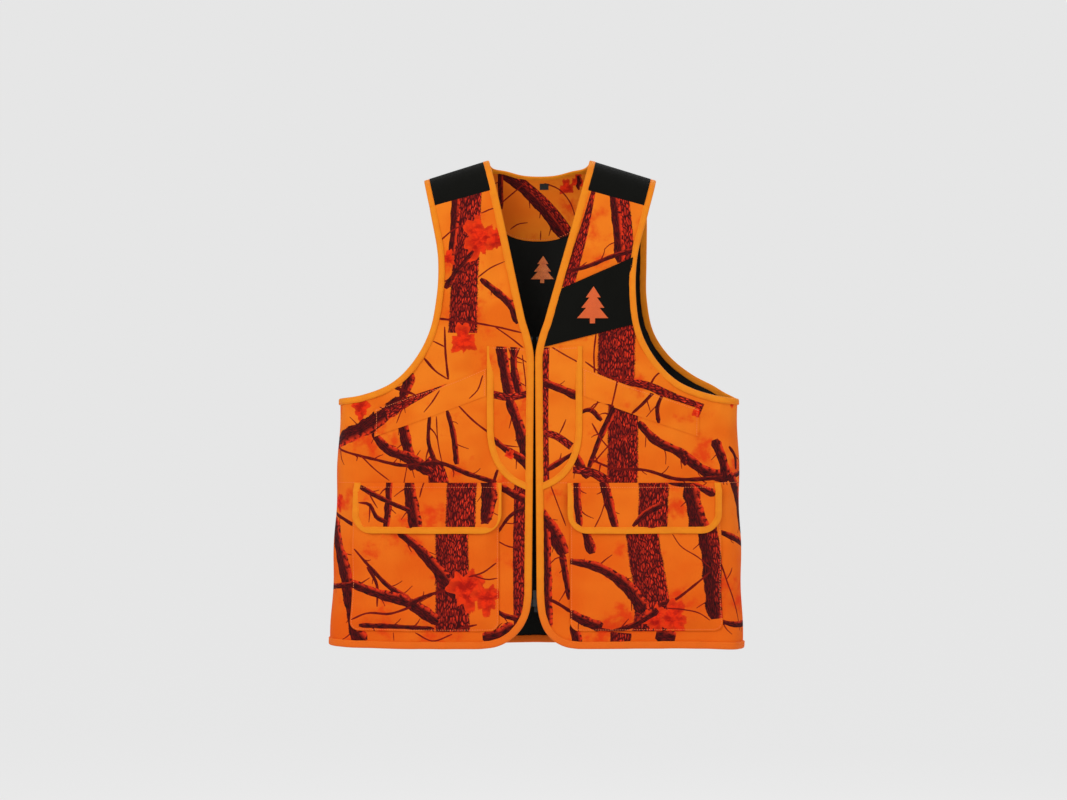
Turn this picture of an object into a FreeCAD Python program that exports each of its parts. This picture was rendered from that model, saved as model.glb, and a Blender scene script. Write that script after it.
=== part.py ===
"""Sleeveless blaze orange field vest, hanging open-ended on an invisible form.

Right and left are the wearer's: the right side lies towards -X and the front faces -Y.
Heights are drafted upwards from the hem.  Every finished piece is then lowered by the
neck height, so that the origin is the middle of the neck opening, level with the
highest points of the shoulders.

The cloth lies in layers on one form: two shallow curves, front and back, joined by
round sides.  A layer is given by its outer face's distance outside the shell cloth
(negative is towards the wearer) and by its thickness.
"""
import FreeCAD, Part

import math
import os

import Sketcher

Vector = FreeCAD.Vector

DIMENSIONS = {
    # the form that the cloth lies on
    "half_width": 301,
    "half_depth": 54,
    "side_radius": 42,
    "seam_gap": 0.4,
    "neck_height": 719,
    "cloth_reach": 800,
    # cloth thicknesses
    "shell_thickness": 1.2,
    "lining_thickness": 0.8,
    "bag_thickness": 0.5,
    "layer_gap": 0.1,
    "moving_gap": 0.4,
    # bindings
    "edge_binding_width": 11,
    "armhole_binding_width": 9.5,
    "patch_binding_width": 10,
    "binding_proud": 0.6,
    "binding_thickness": 3.8,
    # shoulders: a cone laid over each one
    "shoulder_start_x": 61,
    "shoulder_start_height": 667,
    "shoulder_length": 103.5,
    "shoulder_slope_angle": 14.8,
    "shoulder_neck_radius": 53.3,
    "shoulder_tip_radius": 49.4,
    "yoke_edge_rise": 6,
    # back neck
    "back_neck_height": 699,
    "nape_rise": 45,
    "nape_lean_angle": 64,
    "facing_depth": 97,
    # plain pine trees
    "chest_emblem_x": 84,
    "chest_emblem_height": 503,
    "chest_emblem_size": 54,
    "lining_emblem_x": 9,
    "lining_emblem_height": 560,
    "lining_emblem_size": 41,
    # sides and armholes
    "underarm_height": 366,
    "front_armhole_x": 146.5,
    "back_right_armhole_x": 154,
    "back_left_armhole_x": 167,
    # front edges
    "vee_foot_height": 480,
    "vee_foot_x": 14,
    "front_edge_x": 0.8,
    "cutaway_height": 76,
    "cutaway_x": 78,
    # chest
    "patch_x": 70,
    "patch_top_height": 440,
    "patch_bend_height": 325,
    # cargo pockets and flaps
    "pocket_inner_x": 52,
    "pocket_outer_x": 270,
    "pocket_floor_height": 26,
    "pocket_mouth_height": 231,
    "pocket_depth": 11.6,
    "pocket_corner_radius": 14,
    "flap_inner_x": 48,
    "flap_outer_x": 270,
    "flap_bottom_height": 169,
    "flap_top_height": 243,
    "flap_stand_off": 15,
    "flap_corner_radius": 29,
    "flap_binding_thickness": 3,
    "tape_inner_x": 109,
    "tape_outer_x": 209,
    "tape_bottom_height": 182,
    "tape_width": 20,
    "tape_thickness": 0.8,
    # front zip
    "zip_depth": 47.9,
    "coil_x": 4.2,
    "coil_diameter": 2.4,
    "zip_foot_height": 62,
    "zip_box_height": 11,
    "zip_top_height": 452,
    "slider_width": 11,
    "slider_height": 12,
    "slider_thickness": 5.2,
    "slider_left_x": 8.6,
    "pull_length": 26,
    "pull_width": 7,
}

RIGHT = -1
LEFT = 1
SIDES = {"right": RIGHT, "left": LEFT}
FRONT = -1
BACK = 1

os.makedirs("parts", exist_ok=True)
doc = FreeCAD.newDocument("Vest")
sheet = doc.addObject("Spreadsheet::Sheet", "Sheet")
for row, (alias, size) in enumerate(DIMENSIONS.items(), start=1):
    sheet.set(f"A{row}", alias)
    sheet.set(f"B{row}", str(size))
    sheet.setAlias(f"B{row}", alias)
doc.recompute()


# ---------------------------------------------------------------- sizes tied to the sheet

class Dim:
    """A length: its value in millimetres now, and the formula that ties it to the sheet."""

    def __init__(self, value, formula):
        self.value = value
        self.formula = formula

    def __add__(self, other):
        other = dim(other)
        return Dim(self.value + other.value, f"({self.formula} + {other.formula})")

    def __sub__(self, other):
        other = dim(other)
        return Dim(self.value - other.value, f"({self.formula} - {other.formula})")

    def __mul__(self, factor):
        return Dim(self.value * factor, f"({self.formula} * ({factor:.5f}))")

    def __neg__(self):
        return self * -1

    __radd__ = __add__
    __rmul__ = __mul__


def dim(size):
    """A size as a Dim: a cell's alias, a plain number or a Dim already."""
    if isinstance(size, Dim):
        return size
    if isinstance(size, str):
        return Dim(float(sheet.get(size)), f"Sheet.{size}")
    return Dim(float(size), f"({size:.5f})")


def bind(feature, name, size):
    """Tie one property of a feature to the sheet."""
    feature.setExpression(name, dim(size).formula)


finished = []


def hang(piece, label, foot=0):
    """Name a finished piece, whose own zero is at a height, and lower it by the neck height."""
    piece.Label = label
    bind(piece, "Placement.Base.z", dim(foot) - "neck_height")
    finished.append(piece)


# ---------------------------------------------------------------- sketches

def new_body(name):
    return doc.addObject("PartDesign::Body", name)


def sketch_on(body, role, name, height=0):
    """A sketch on one of the body's own origin planes, raised by a height."""
    sketch = body.newObject("Sketcher::SketchObject", name)
    plane = next(item for item in body.Origin.OriginFeatures if item.Role == role)
    sketch.AttachmentSupport = [(plane, "")]
    sketch.MapMode = "FlatFace"
    if height:
        bind(sketch, "AttachmentOffset.Base.z", height)
    return sketch


def end_at(sketch, edge, point):
    """Which end of a sketch edge, 1 or 2, lies at a point."""
    first = (sketch.getPoint(edge, 1) - point).Length
    second = (sketch.getPoint(edge, 2) - point).Length
    return 1 if first < second else 2


def constrain(sketch, *terms, size=None):
    """Add a constraint, and tie its value to the sheet where it has a size."""
    if size is None:
        return sketch.addConstraint(Sketcher.Constraint(*terms))
    index = sketch.addConstraint(Sketcher.Constraint(*terms, size.value))
    bind(sketch, f"Constraints[{index}]", size)
    return index


class LayerFace:
    """One face of a layer, seen from above, from the middle of the form to one side."""

    def __init__(self, side, face, outer):
        self.side = side
        self.face = face
        self.depth = dim("half_depth") + outer
        self.radius = dim("side_radius") + outer
        self.centre_x = (dim("half_width") - dim("side_radius")) * side
        self.gap = dim("seam_gap") * face
        width = self.centre_x.value * side
        depth = dim("half_depth").value
        radius = dim("side_radius").value
        broad_radius = (width ** 2 + depth ** 2 - radius ** 2) / (2 * (depth - radius))
        broad_centre = Vector(0, -face * (broad_radius - depth), 0)
        side_centre = Vector(self.centre_x.value, 0, 0)
        outward = side_centre - broad_centre
        outward.normalize()
        extra = dim(outer).value
        end_x = side * (width + math.sqrt(self.radius.value ** 2 - self.gap.value ** 2))
        self.middle = Vector(0, face * self.depth.value, 0)
        self.bend = broad_centre + outward * (broad_radius + extra)
        self.end = Vector(end_x, self.gap.value, 0)
        half_bend = Vector(self.bend.x / 2, 0, 0)
        rise = math.sqrt((broad_radius + extra) ** 2 - half_bend.x ** 2)
        half_bend.y = broad_centre.y + face * rise
        start_angle = math.atan2(self.bend.y * face, abs(self.bend.x) - width)
        half_angle = start_angle / 2
        on_side = Vector(side * math.cos(half_angle), face * math.sin(half_angle), 0)
        self.broad_arc = Part.Arc(self.middle, half_bend, self.bend)
        self.side_arc = Part.Arc(self.bend, side_centre + on_side * self.radius.value, self.end)

    def draw(self, sketch):
        """Draw both arcs, tied to the sheet, and give them back: broad, then side."""
        broad = sketch.addGeometry(self.broad_arc)
        round_side = sketch.addGeometry(self.side_arc)
        bend_ends = (broad, end_at(sketch, broad, self.bend),
                     round_side, end_at(sketch, round_side, self.bend))
        constrain(sketch, "Tangent", *bend_ends)
        constrain(sketch, "PointOnObject", broad, 3, -2)
        constrain(sketch, "PointOnObject", round_side, 3, -1)
        constrain(sketch, "Radius", round_side, size=self.radius)
        constrain(sketch, "DistanceX", -1, 1, round_side, 3, size=self.centre_x)
        return broad, round_side


def layer_section(sketch, sides, face, outer, thickness):
    """The closed section of one layer of cloth, over one side of the form or both."""
    outer = dim(outer)
    thickness = dim(thickness)
    rims = []
    for side in sides:
        outside = LayerFace(side, face, outer)
        inside = LayerFace(side, face, outer - thickness)
        outside_edges = outside.draw(sketch)
        inside_edges = inside.draw(sketch)
        seam = sketch.addGeometry(Part.LineSegment(outside.end, inside.end))
        for end, edge, layer in ((1, outside_edges[1], outside), (2, inside_edges[1], inside)):
            constrain(sketch, "Coincident", seam, end, edge, end_at(sketch, edge, layer.end))
            constrain(sketch, "DistanceY", -1, 1, seam, end, size=layer.gap)
        rims.append((outside, outside_edges[0], inside, inside_edges[0]))
    outside, outside_edge, inside, inside_edge = rims[0]
    if len(rims) == 1:
        closing = sketch.addGeometry(Part.LineSegment(outside.middle, inside.middle))
        partners = ((outside, outside_edge, closing, 1), (inside, inside_edge, closing, 2))
    else:
        other_outside, other_outside_edge, other_inside, other_inside_edge = rims[1]
        partners = (
            (outside, outside_edge, other_outside_edge,
             end_at(sketch, other_outside_edge, other_outside.middle)),
            (inside, inside_edge, other_inside_edge,
             end_at(sketch, other_inside_edge, other_inside.middle)),
        )
    for layer, edge, partner, partner_end in partners:
        end = end_at(sketch, edge, layer.middle)
        constrain(sketch, "Coincident", edge, end, partner, partner_end)
        constrain(sketch, "PointOnObject", edge, end, -2)
        constrain(sketch, "DistanceY", -1, 1, edge, end, size=layer.depth * face)


# ---------------------------------------------------------------- outlines, seen from the front
#
# A path is a list of runs, and a run is a list of points that begins where the last run
# ended: two points are a straight edge, and more are one smooth curve through them.

class Bend(list):
    """A run that is a round corner: its start, the middle of its arc and its end."""


def at(x, height):
    return (dim(x), dim(height))


def place(point):
    return Vector(point[0].value, point[1].value, 0)


def mirrored(path, side):
    return [type(run)((x * side, height) for x, height in run) for run in path]


def backwards(path):
    return [type(run)(reversed(run)) for run in reversed(path)]


def closed(path):
    """The path with a straight edge from its end to its start."""
    return path + [[path[-1][-1], path[0][0]]]


def beside(path, distance):
    """The path moved sideways, to the left of its direction, by a distance."""
    distance = dim(distance)
    points = [path[0][0]]
    for run in path:
        points.extend(run[1:])
    moved = []
    for index, point in enumerate(points):
        before = place(points[max(index - 1, 0)])
        after = place(points[min(index + 1, len(points) - 1)])
        along = after - before
        along.normalize()
        moved.append((point[0] + distance * -along.y, point[1] + distance * along.x))
    shifted = []
    start = 0
    for run in path:
        end = start + len(run) - 1
        shifted.append(type(run)(moved[start:end + 1]))
        start = end
    return shifted


def strip(path, width):
    """The closed outline of a strip of cloth whose outer edge is a path."""
    inner = backwards(beside(path, width))
    return closed(path + [[path[-1][-1], inner[0][0]]] + inner)


def polygon(*corners):
    """A closed outline with straight edges."""
    return [[start, end] for start, end in zip(corners, corners[1:] + corners[:1])]


def draw_outline(sketch, outline):
    """Draw a closed outline, with each run's start tied to the sheet."""
    edges = []
    for run in outline:
        points = [place(point) for point in run]
        if isinstance(run, Bend):
            curve = Part.Arc(*points)
        elif len(points) == 2:
            curve = Part.LineSegment(*points)
        else:
            curve = Part.BSplineCurve()
            curve.interpolate(points)
        edges.append(sketch.addGeometry(curve))
    for index, run in enumerate(outline):
        start = place(run[0])
        edge = edges[index]
        last_edge = edges[index - 1]
        end = end_at(sketch, edge, start)
        constrain(sketch, "Coincident", last_edge, end_at(sketch, last_edge, start), edge, end)
        constrain(sketch, "DistanceX", -1, 1, edge, end, size=run[0][0])
        constrain(sketch, "DistanceY", -1, 1, edge, end, size=run[0][1])


def trim(body, outline):
    """Cut away all of a body's cloth outside an outline."""
    sketch = sketch_on(body, "XZ_Plane", "outline")
    reach = dim("cloth_reach")
    draw_outline(sketch, polygon(
        at(-reach, -reach), at(reach, -reach), at(reach, reach), at(-reach, reach)))
    draw_outline(sketch, outline)
    cut = body.newObject("PartDesign::Pocket", "trim")
    cut.Profile = sketch
    cut.Type = "ThroughAll"
    cut.SideType = "Symmetric"
    return cut


# ---------------------------------------------------------------- cloth pieces

def pad(body, sketch, length):
    feature = body.newObject("PartDesign::Pad", "cloth")
    feature.Profile = sketch
    bind(feature, "Length", length)
    return feature


def cloth(name, sides, face, outer, thickness, outline, head=None):
    """A body of one layer of cloth, cut to an outline.

    A head is a ledge along the top of the piece, (height, thickness, depth), that
    reaches back towards the cloth behind.
    """
    body = new_body(name)
    section = sketch_on(body, "XY_Plane", "section")
    layer_section(section, sides, face, outer, thickness)
    pad(body, section, "cloth_reach")
    if head is not None:
        top, ledge_thickness, ledge_depth = head
        ledge = sketch_on(body, "XY_Plane", "ledge", dim(top) - ledge_thickness)
        layer_section(ledge, sides, face, outer, ledge_depth)
        pad(body, ledge, ledge_thickness)
    trim(body, outline)
    return body


def fused(name, *pieces):
    joined = doc.addObject("Part::MultiFuse", name)
    joined.Shapes = list(pieces)
    return joined


def cut_from(name, base, tool):
    rest = doc.addObject("Part::Cut", name)
    rest.Base = base
    rest.Tool = tool
    return rest


def box(name, low, size):
    """A block from its low corner (x, y, height) and its size."""
    block = doc.addObject("Part::Box", name)
    for axis, corner in zip("xyz", low):
        bind(block, f"Placement.Base.{axis}", corner)
    for side, length in zip(("Length", "Width", "Height"), size):
        bind(block, side, length)
    return block


# ---------------------------------------------------------------- shoulders

SLOPE = math.radians(float(sheet.get("shoulder_slope_angle")))


def shoulder_point(distance, rise):
    """A point over the shoulder's axis: a distance from the neck edge, and a rise."""
    distance = dim(distance)
    rise = dim(rise)
    x = dim("shoulder_start_x") + distance * math.cos(SLOPE) + rise * math.sin(SLOPE)
    height = dim("shoulder_start_height") - distance * math.sin(SLOPE) + rise * math.cos(SLOPE)
    return (x, height)


def lay_along_shoulder(solid, side, distance):
    """Turn a solid's own Z axis to run out along the shoulder, from a distance down it."""
    turn = 90 + math.degrees(SLOPE)
    solid.Placement = FreeCAD.Placement(
        Vector(0, 0, 0), FreeCAD.Rotation(Vector(0, 1, 0), side * turn))
    x, height = shoulder_point(distance, 0)
    bind(solid, "Placement.Base.x", x * side)
    bind(solid, "Placement.Base.z", height)


def shoulder_arch(name, side, start, end, outer, thickness):
    """Cloth over one shoulder, from front to back, between two distances from the neck."""
    start = dim(start)
    length = dim(end) - start
    narrowing = dim("shoulder_neck_radius").value - dim("shoulder_tip_radius").value
    taper = narrowing / dim("shoulder_length").value
    cones = []
    for layer in (dim(outer), dim(outer) - thickness):
        cone = doc.addObject("Part::Cone", f"{name}_cone")
        radius = dim("shoulder_neck_radius") + layer
        bind(cone, "Radius1", radius - start * taper)
        bind(cone, "Radius2", radius - dim(end) * taper)
        bind(cone, "Height", length)
        lay_along_shoulder(cone, side, start)
        cones.append(cone)
    shell = cut_from(f"{name}_shell", *cones)
    above = doc.addObject("Part::Box", f"{name}_above")
    reach = dim("shoulder_neck_radius") * 2
    for edge, size in (("Length", reach), ("Width", reach * 2), ("Height", length)):
        bind(above, edge, size)
    lay_along_shoulder(above, side, start)
    corner_rise = reach + "yoke_edge_rise" if side == LEFT else "yoke_edge_rise"
    x, height = shoulder_point(start, corner_rise)
    bind(above, "Placement.Base.x", x * side)
    bind(above, "Placement.Base.y", -reach)
    bind(above, "Placement.Base.z", height)
    arch = doc.addObject("Part::Common", name)
    arch.Base = shell
    arch.Tool = above
    return arch


# ---------------------------------------------------------------- the vest's edges
#
# Each path is drafted for the wearer's left, and mirrored for the right.

def neck_run(distance, rise, drop):
    """Back neck curve between two points over the shoulders, lowered by a drop."""
    corner_x, corner_height = shoulder_point(distance, rise)
    top = dim("back_neck_height") - drop
    half = [at(28, top + 2), at(50, top + 8), (corner_x, corner_height)]
    other_half = [(-x, height) for x, height in reversed(half)]
    return other_half + [at(0.5, top)] + half


def armhole_path(narrowest_x, drop=0):
    """Armhole edge, from a drop below the shoulder's tip to the side seam."""
    tip_x, tip_height = shoulder_point("shoulder_length", "yoke_edge_rise")
    narrowest_x = dim(narrowest_x)
    foot = dim("underarm_height")
    return [[
        (tip_x, tip_height - drop),
        (narrowest_x, foot + 201),
        (narrowest_x, foot + 149),
        (narrowest_x + 10, foot + 97),
        (narrowest_x + 28, foot + 63),
        (narrowest_x + 62, foot + 27),
        (narrowest_x + 118, foot + 5),
        (dim("half_width"), foot),
    ]]


def front_edge_path():
    """Front edge, from the shoulder down the V neck and the opening, and out along the hem."""
    neck_x, neck_height = shoulder_point(0, "yoke_edge_rise")
    foot_x = dim("vee_foot_x")
    foot = dim("vee_foot_height")
    edge_x = dim("front_edge_x")
    cutaway = dim("cutaway_height")
    cutaway_x = edge_x + 3.2
    return [
        [(neck_x, neck_height - "moving_gap"), (foot_x, foot)],
        [(foot_x, foot), (edge_x + 6, foot - 22), (edge_x + 0.8, foot - 45), (edge_x, foot - 80)],
        [(edge_x, foot - 80), (cutaway_x, cutaway)],
        [(cutaway_x, cutaway), (cutaway_x + 4.5, cutaway - 26), (cutaway_x + 16, cutaway - 48),
         (cutaway_x + 33, cutaway - 64), (cutaway_x + 52, cutaway - 73),
         (dim("cutaway_x"), dim(0))],
        [(dim("cutaway_x"), dim(0)), (dim("half_width"), dim(0))],
    ]


def front_outline():
    """Outline of a front inside its bindings, with the seam under the yoke as its top."""
    gap = dim("layer_gap")
    edge = beside(front_edge_path(), dim("edge_binding_width") + gap)
    armhole = backwards(beside(armhole_path("front_armhole_x"),
                               -(dim("armhole_binding_width") + gap)))
    seam_x, seam_height = shoulder_point(0, dim("yoke_edge_rise") - "moving_gap")
    slope = math.tan(SLOPE)
    for run, end in ((edge[0], 0), (armhole[-1], -1)):
        x = run[end][0]
        run[end] = (x, seam_height + (seam_x - x) * slope)
    side_start = (dim("half_width") + 1, edge[-1][-1][1])
    edge[-1][-1] = side_start
    return closed(edge + [[side_start, armhole[0][0]]] + armhole)


def nape_edge():
    """Back neck curve just inside the neck binding."""
    inside = dim("armhole_binding_width") + "layer_gap"
    return neck_run(-0.2, dim("nape_rise") - inside, inside)


def back_armhole_path(side, drop=0):
    """Back armhole edge: the left one is cut wider."""
    name = "right" if side == RIGHT else "left"
    return armhole_path(f"back_{name}_armhole_x", drop)


def back_outline():
    """Outline of the back inside its bindings."""
    gap = dim("layer_gap")
    seam_x, seam_height = shoulder_point(-0.2, dim("yoke_edge_rise") - gap)
    side_start = (dim("half_width") + 1, dim("edge_binding_width") + gap)
    neck = nape_edge()
    halves = {}
    for side in (RIGHT, LEFT):
        inside = beside(back_armhole_path(side), -(dim("armhole_binding_width") + gap))
        armhole = backwards(inside)
        x = armhole[-1][-1][0]
        tip = (x, seam_height + (seam_x - x) * math.tan(SLOPE))
        armhole[-1][-1] = tip
        half = [[side_start, armhole[0][0]]] + armhole
        half += [[tip, (seam_x, seam_height)], [(seam_x, seam_height), neck[-1]]]
        halves[side] = mirrored(half, side)
    return closed(halves[LEFT] + [neck[::-1]] + backwards(halves[RIGHT]))


def pocket_path(inner_x, outer_x, bottom, top, radius, inset=0):
    """Sides, rounded lower corners and bottom of a pocket or flap, from the top outer end."""
    inner_x = dim(inner_x) + inset
    outer_x = dim(outer_x) - inset
    bottom = dim(bottom) + inset
    top = dim(top)
    radius = dim(radius) - inset
    shoulder = radius * (1 - math.sqrt(0.5))
    return [
        [(outer_x, top), (outer_x, bottom + radius)],
        Bend([(outer_x, bottom + radius), (outer_x - shoulder, bottom + shoulder),
              (outer_x - radius, bottom)]),
        [(outer_x - radius, bottom), (inner_x + radius, bottom)],
        Bend([(inner_x + radius, bottom), (inner_x + shoulder, bottom + shoulder),
              (inner_x, bottom + radius)]),
        [(inner_x, bottom + radius), (inner_x, top)],
    ]


def pine_tree(x, height, size):
    """A plain pine tree of three tiers with a trunk, about a centre."""
    tiers = [(0, 0.5), (0.2, 0.2), (0.1, 0.2), (0.31, -0.08), (0.18, -0.08), (0.42, -0.36),
             (0.07, -0.36), (0.07, -0.5)]
    x, height, size = dim(x), dim(height), dim(size)
    side = [(x + size * across, height + size * up) for across, up in tiers]
    other = [(x - size * across, height + size * up) for across, up in tiers[:0:-1]]
    return polygon(*side, *other)


def block_outline(low_x, high_x, bottom, top):
    return polygon(at(low_x, bottom), at(high_x, bottom), at(high_x, top), at(low_x, top))


# ---------------------------------------------------------------- layers: outer face, thickness

SHELL = (dim(0), dim("shell_thickness"))
BAG = (-(SHELL[1] + "layer_gap"), dim("bag_thickness"))
FRONT_LINING = (BAG[0] - BAG[1] - "layer_gap", dim("lining_thickness"))
BACK_LINING = (BAG[0], dim("lining_thickness"))
FACING = (BACK_LINING[0] - BACK_LINING[1] - "layer_gap", dim("lining_thickness"))
LABEL = (FACING[0] - FACING[1] - "layer_gap", dim("bag_thickness"))
LINING_EMBLEM = (FACING[0], dim("bag_thickness"))
BINDING = (dim("binding_proud"), dim("binding_thickness"))
PATCH = (SHELL[1], SHELL[1] - "layer_gap")
PATCH_BINDING = (PATCH[0] + "binding_proud", PATCH[1] + "binding_proud")
EMBLEM = (PATCH[0] + "lining_thickness", dim("lining_thickness") - "layer_gap")
POCKET = (dim("pocket_depth"), dim("pocket_depth") - "layer_gap")
LOOP_TAPE = (POCKET[0] + "layer_gap" + "tape_thickness", dim("tape_thickness"))
FLAP = (dim("flap_stand_off"), dim("shell_thickness"))
HOOK_TAPE = (FLAP[0] - FLAP[1] - "layer_gap", dim("tape_thickness"))
FLAP_BINDING = (FLAP[0] + "binding_proud", dim("flap_binding_thickness"))


# ---------------------------------------------------------------- back and shoulders

def nape_section(body, outer, thickness):
    """The side view of cloth that leans forward over the back neck, padded both ways."""
    section = sketch_on(body, "YZ_Plane", "nape")
    lean = math.radians(dim("nape_lean_angle").value)
    centre = Vector(0, dim("shoulder_start_height").value, 0)
    low = Vector(1, 0, 0)
    high = Vector(math.cos(lean), math.sin(lean), 0)
    middle = Vector(math.cos(lean / 2), math.sin(lean / 2), 0)
    arcs = []
    for radius in (dim("half_depth") + outer, dim("half_depth") + outer - thickness):
        ends = [centre + way * radius.value for way in (low, middle, high)]
        arc = section.addGeometry(Part.Arc(*ends))
        constrain(section, "Radius", arc, size=radius)
        constrain(section, "PointOnObject", arc, 3, -2)
        constrain(section, "DistanceY", -1, 1, arc, 3, size=dim("shoulder_start_height"))
        constrain(section, "DistanceY", -1, 1, arc, end_at(section, arc, ends[0]),
                  size=dim("shoulder_start_height"))
        arcs.append((arc, (ends[0], ends[2])))
    (outside_arc, outside_ends), (inside_arc, inside_ends) = arcs
    for start, stop in zip(outside_ends, inside_ends):
        edge = section.addGeometry(Part.LineSegment(start, stop))
        outside_end = end_at(section, outside_arc, start)
        inside_end = end_at(section, inside_arc, stop)
        constrain(section, "Coincident", edge, 1, outside_arc, outside_end)
        constrain(section, "Coincident", edge, 2, inside_arc, inside_end)
    feature = pad(body, section, dim("shoulder_neck_radius") * 3)
    feature.SideType = "Symmetric"


def nape_cloth(name, layer, outline):
    """A piece that lies wholly on the leaning back neck."""
    body = new_body(name)
    nape_section(body, *layer)
    trim(body, outline)
    return body


def back_cloth(name, layer, outline):
    """A piece of the back that rises from the flat back on to the leaning back neck."""
    body = new_body(name)
    section = sketch_on(body, "XY_Plane", "section")
    layer_section(section, (RIGHT, LEFT), BACK, *layer)
    pad(body, section, "shoulder_start_height")
    nape_section(body, *layer)
    trim(body, outline)
    return body


def facing_outline():
    neck = nape_edge()
    seam_x, seam_height = shoulder_point(-0.2, dim("yoke_edge_rise") - "layer_gap")
    low = dim("back_neck_height") - "facing_depth"
    hollow = [(seam_x, low + 30), at(46, low + 10), at(24, low + 2), at(0.5, low),
              at(-24, low + 2), at(-46, low + 10), (-seam_x, low + 30)]
    side = [(seam_x, seam_height), (seam_x, low + 30)]
    return [
        neck,
        [neck[-1], side[0]],
        side,
        hollow,
        [(-seam_x, low + 30), (-seam_x, seam_height)],
        [(-seam_x, seam_height), neck[0]],
    ]


hang(back_cloth("back_panel", SHELL, back_outline()), "back_panel")
hang(back_cloth("back_lining", BACK_LINING, back_outline()), "back_lining")
hang(back_cloth("neck_facing", FACING, facing_outline()), "neck_facing")
label_top = dim("back_neck_height") - "armhole_binding_width" - 1
hang(nape_cloth("size_label", LABEL, block_outline(2, 14, label_top - 8, label_top)), "size_label")
lining_emblem = cloth("lining_emblem", (RIGHT, LEFT), BACK, *LINING_EMBLEM, pine_tree(
    "lining_emblem_x", "lining_emblem_height", "lining_emblem_size"))
hang(lining_emblem, "lining_emblem")
hem_binding = cloth("back_hem_binding", (RIGHT, LEFT), BACK, *BINDING,
                    block_outline(-dim("half_width") - 1, dim("half_width") + 1, 0,
                                  "edge_binding_width"))
hang(hem_binding, "back_hem_binding")

neck_inside = neck_run(2, dim("nape_rise") - "armhole_binding_width", "armhole_binding_width")
neck_outside = neck_run(2, "nape_rise", 0)
neck_strip = nape_cloth("neck_strip", BINDING, closed(
    [neck_outside, [neck_outside[-1], neck_inside[-1]], neck_inside[::-1]]))
neck_arches = [
    shoulder_arch(f"neck_arch_{name}", side, 0, "armhole_binding_width", *BINDING)
    for name, side in SIDES.items()
]
hang(fused("neck_binding", neck_strip, *neck_arches), "neck_binding")

for name, side in SIDES.items():
    yoke_start = dim("armhole_binding_width") + "layer_gap"
    yoke_end = dim("shoulder_length") - yoke_start
    for kind, layer in (("yoke", SHELL), ("yoke_lining", FRONT_LINING)):
        arch = shoulder_arch(f"{kind}_{name}", side, yoke_start, yoke_end, *layer)
        hang(arch, f"{kind}_{name}")
    tip_arch = shoulder_arch(f"tip_arch_{name}", side, yoke_end + "layer_gap",
                             "shoulder_length", *BINDING)
    armhole_edge = back_armhole_path(side, -2)
    armhole_strip = cloth(f"back_armhole_strip_{name}", (side,), BACK, *BINDING, mirrored(
        strip(armhole_edge, -dim("armhole_binding_width")), side))
    label = f"back_armhole_binding_{name}"
    hang(fused(label, armhole_strip, tip_arch), label)


# ---------------------------------------------------------------- fronts

def chest_patch_path():
    """Outer edge of the patch beside the front edge, from its top to the front edge."""
    patch_x = dim("patch_x")
    bend = dim("patch_bend_height")
    return [
        [(patch_x, dim("patch_top_height")), (patch_x, bend)],
        [(patch_x, bend), (patch_x - 1, bend - 17), (patch_x - 5, bend - 36),
         (patch_x - 14, bend - 57), (patch_x - 28, bend - 75), (patch_x - 44, bend - 85),
         (patch_x - 51, bend - 88)],
    ]


def chest_patch_outline():
    straight, curve = beside(chest_patch_path(), -(dim("patch_binding_width") + "layer_gap"))
    inner_x = dim("edge_binding_width") + "front_edge_x" + 1
    foot = (inner_x, dim("patch_bend_height") - 80)
    curve[-1] = foot
    return closed([straight, curve, [foot, (inner_x, straight[0][1])]])


def chest_panel_outline():
    """The plain panel between the V neck and the armhole."""
    vee = [at(39.5, 528), at(28, 482), at(20, 457), at(16, 441)]
    armhole = [at(136, 474), at(134.5, 520), at(135, 570)]
    return closed([vee, [vee[-1], armhole[0]], armhole])


def welt_outline():
    """The slanted strip over the hand pocket's mouth."""
    lower = [at(71, 370), at(150, 341), at(241, 310)]
    upper = [at(242, 351), at(190, 368), at(120, 391), at(71, 411)]
    return closed([lower, [lower[-1], upper[0]], upper])


def bag_outline():
    """The pocket bag that lies flat between the shell and the lining."""
    return polygon(at(76, 404), at(76, 290), at(92, 262), at(262, 262), at(278, 290),
                   at(278, 306), at(240, 350))


def pocket_outline(inset=0, top="pocket_mouth_height"):
    return closed(pocket_path("pocket_inner_x", "pocket_outer_x", "pocket_floor_height", top,
                              "pocket_corner_radius", inset))


def tape_outline():
    """The hook or loop tape that holds a flap down."""
    bottom = dim("tape_bottom_height")
    return block_outline("tape_inner_x", "tape_outer_x", bottom, bottom + "tape_width")


def flap_path(inset=0):
    return pocket_path("flap_inner_x", "flap_outer_x", "flap_bottom_height", "flap_top_height",
                       "flap_corner_radius", inset)


def flap_binding_outline():
    outer = flap_path()
    inner = backwards(flap_path("patch_binding_width"))
    return closed(outer + [[outer[-1][-1], inner[0][0]]] + inner)


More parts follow.
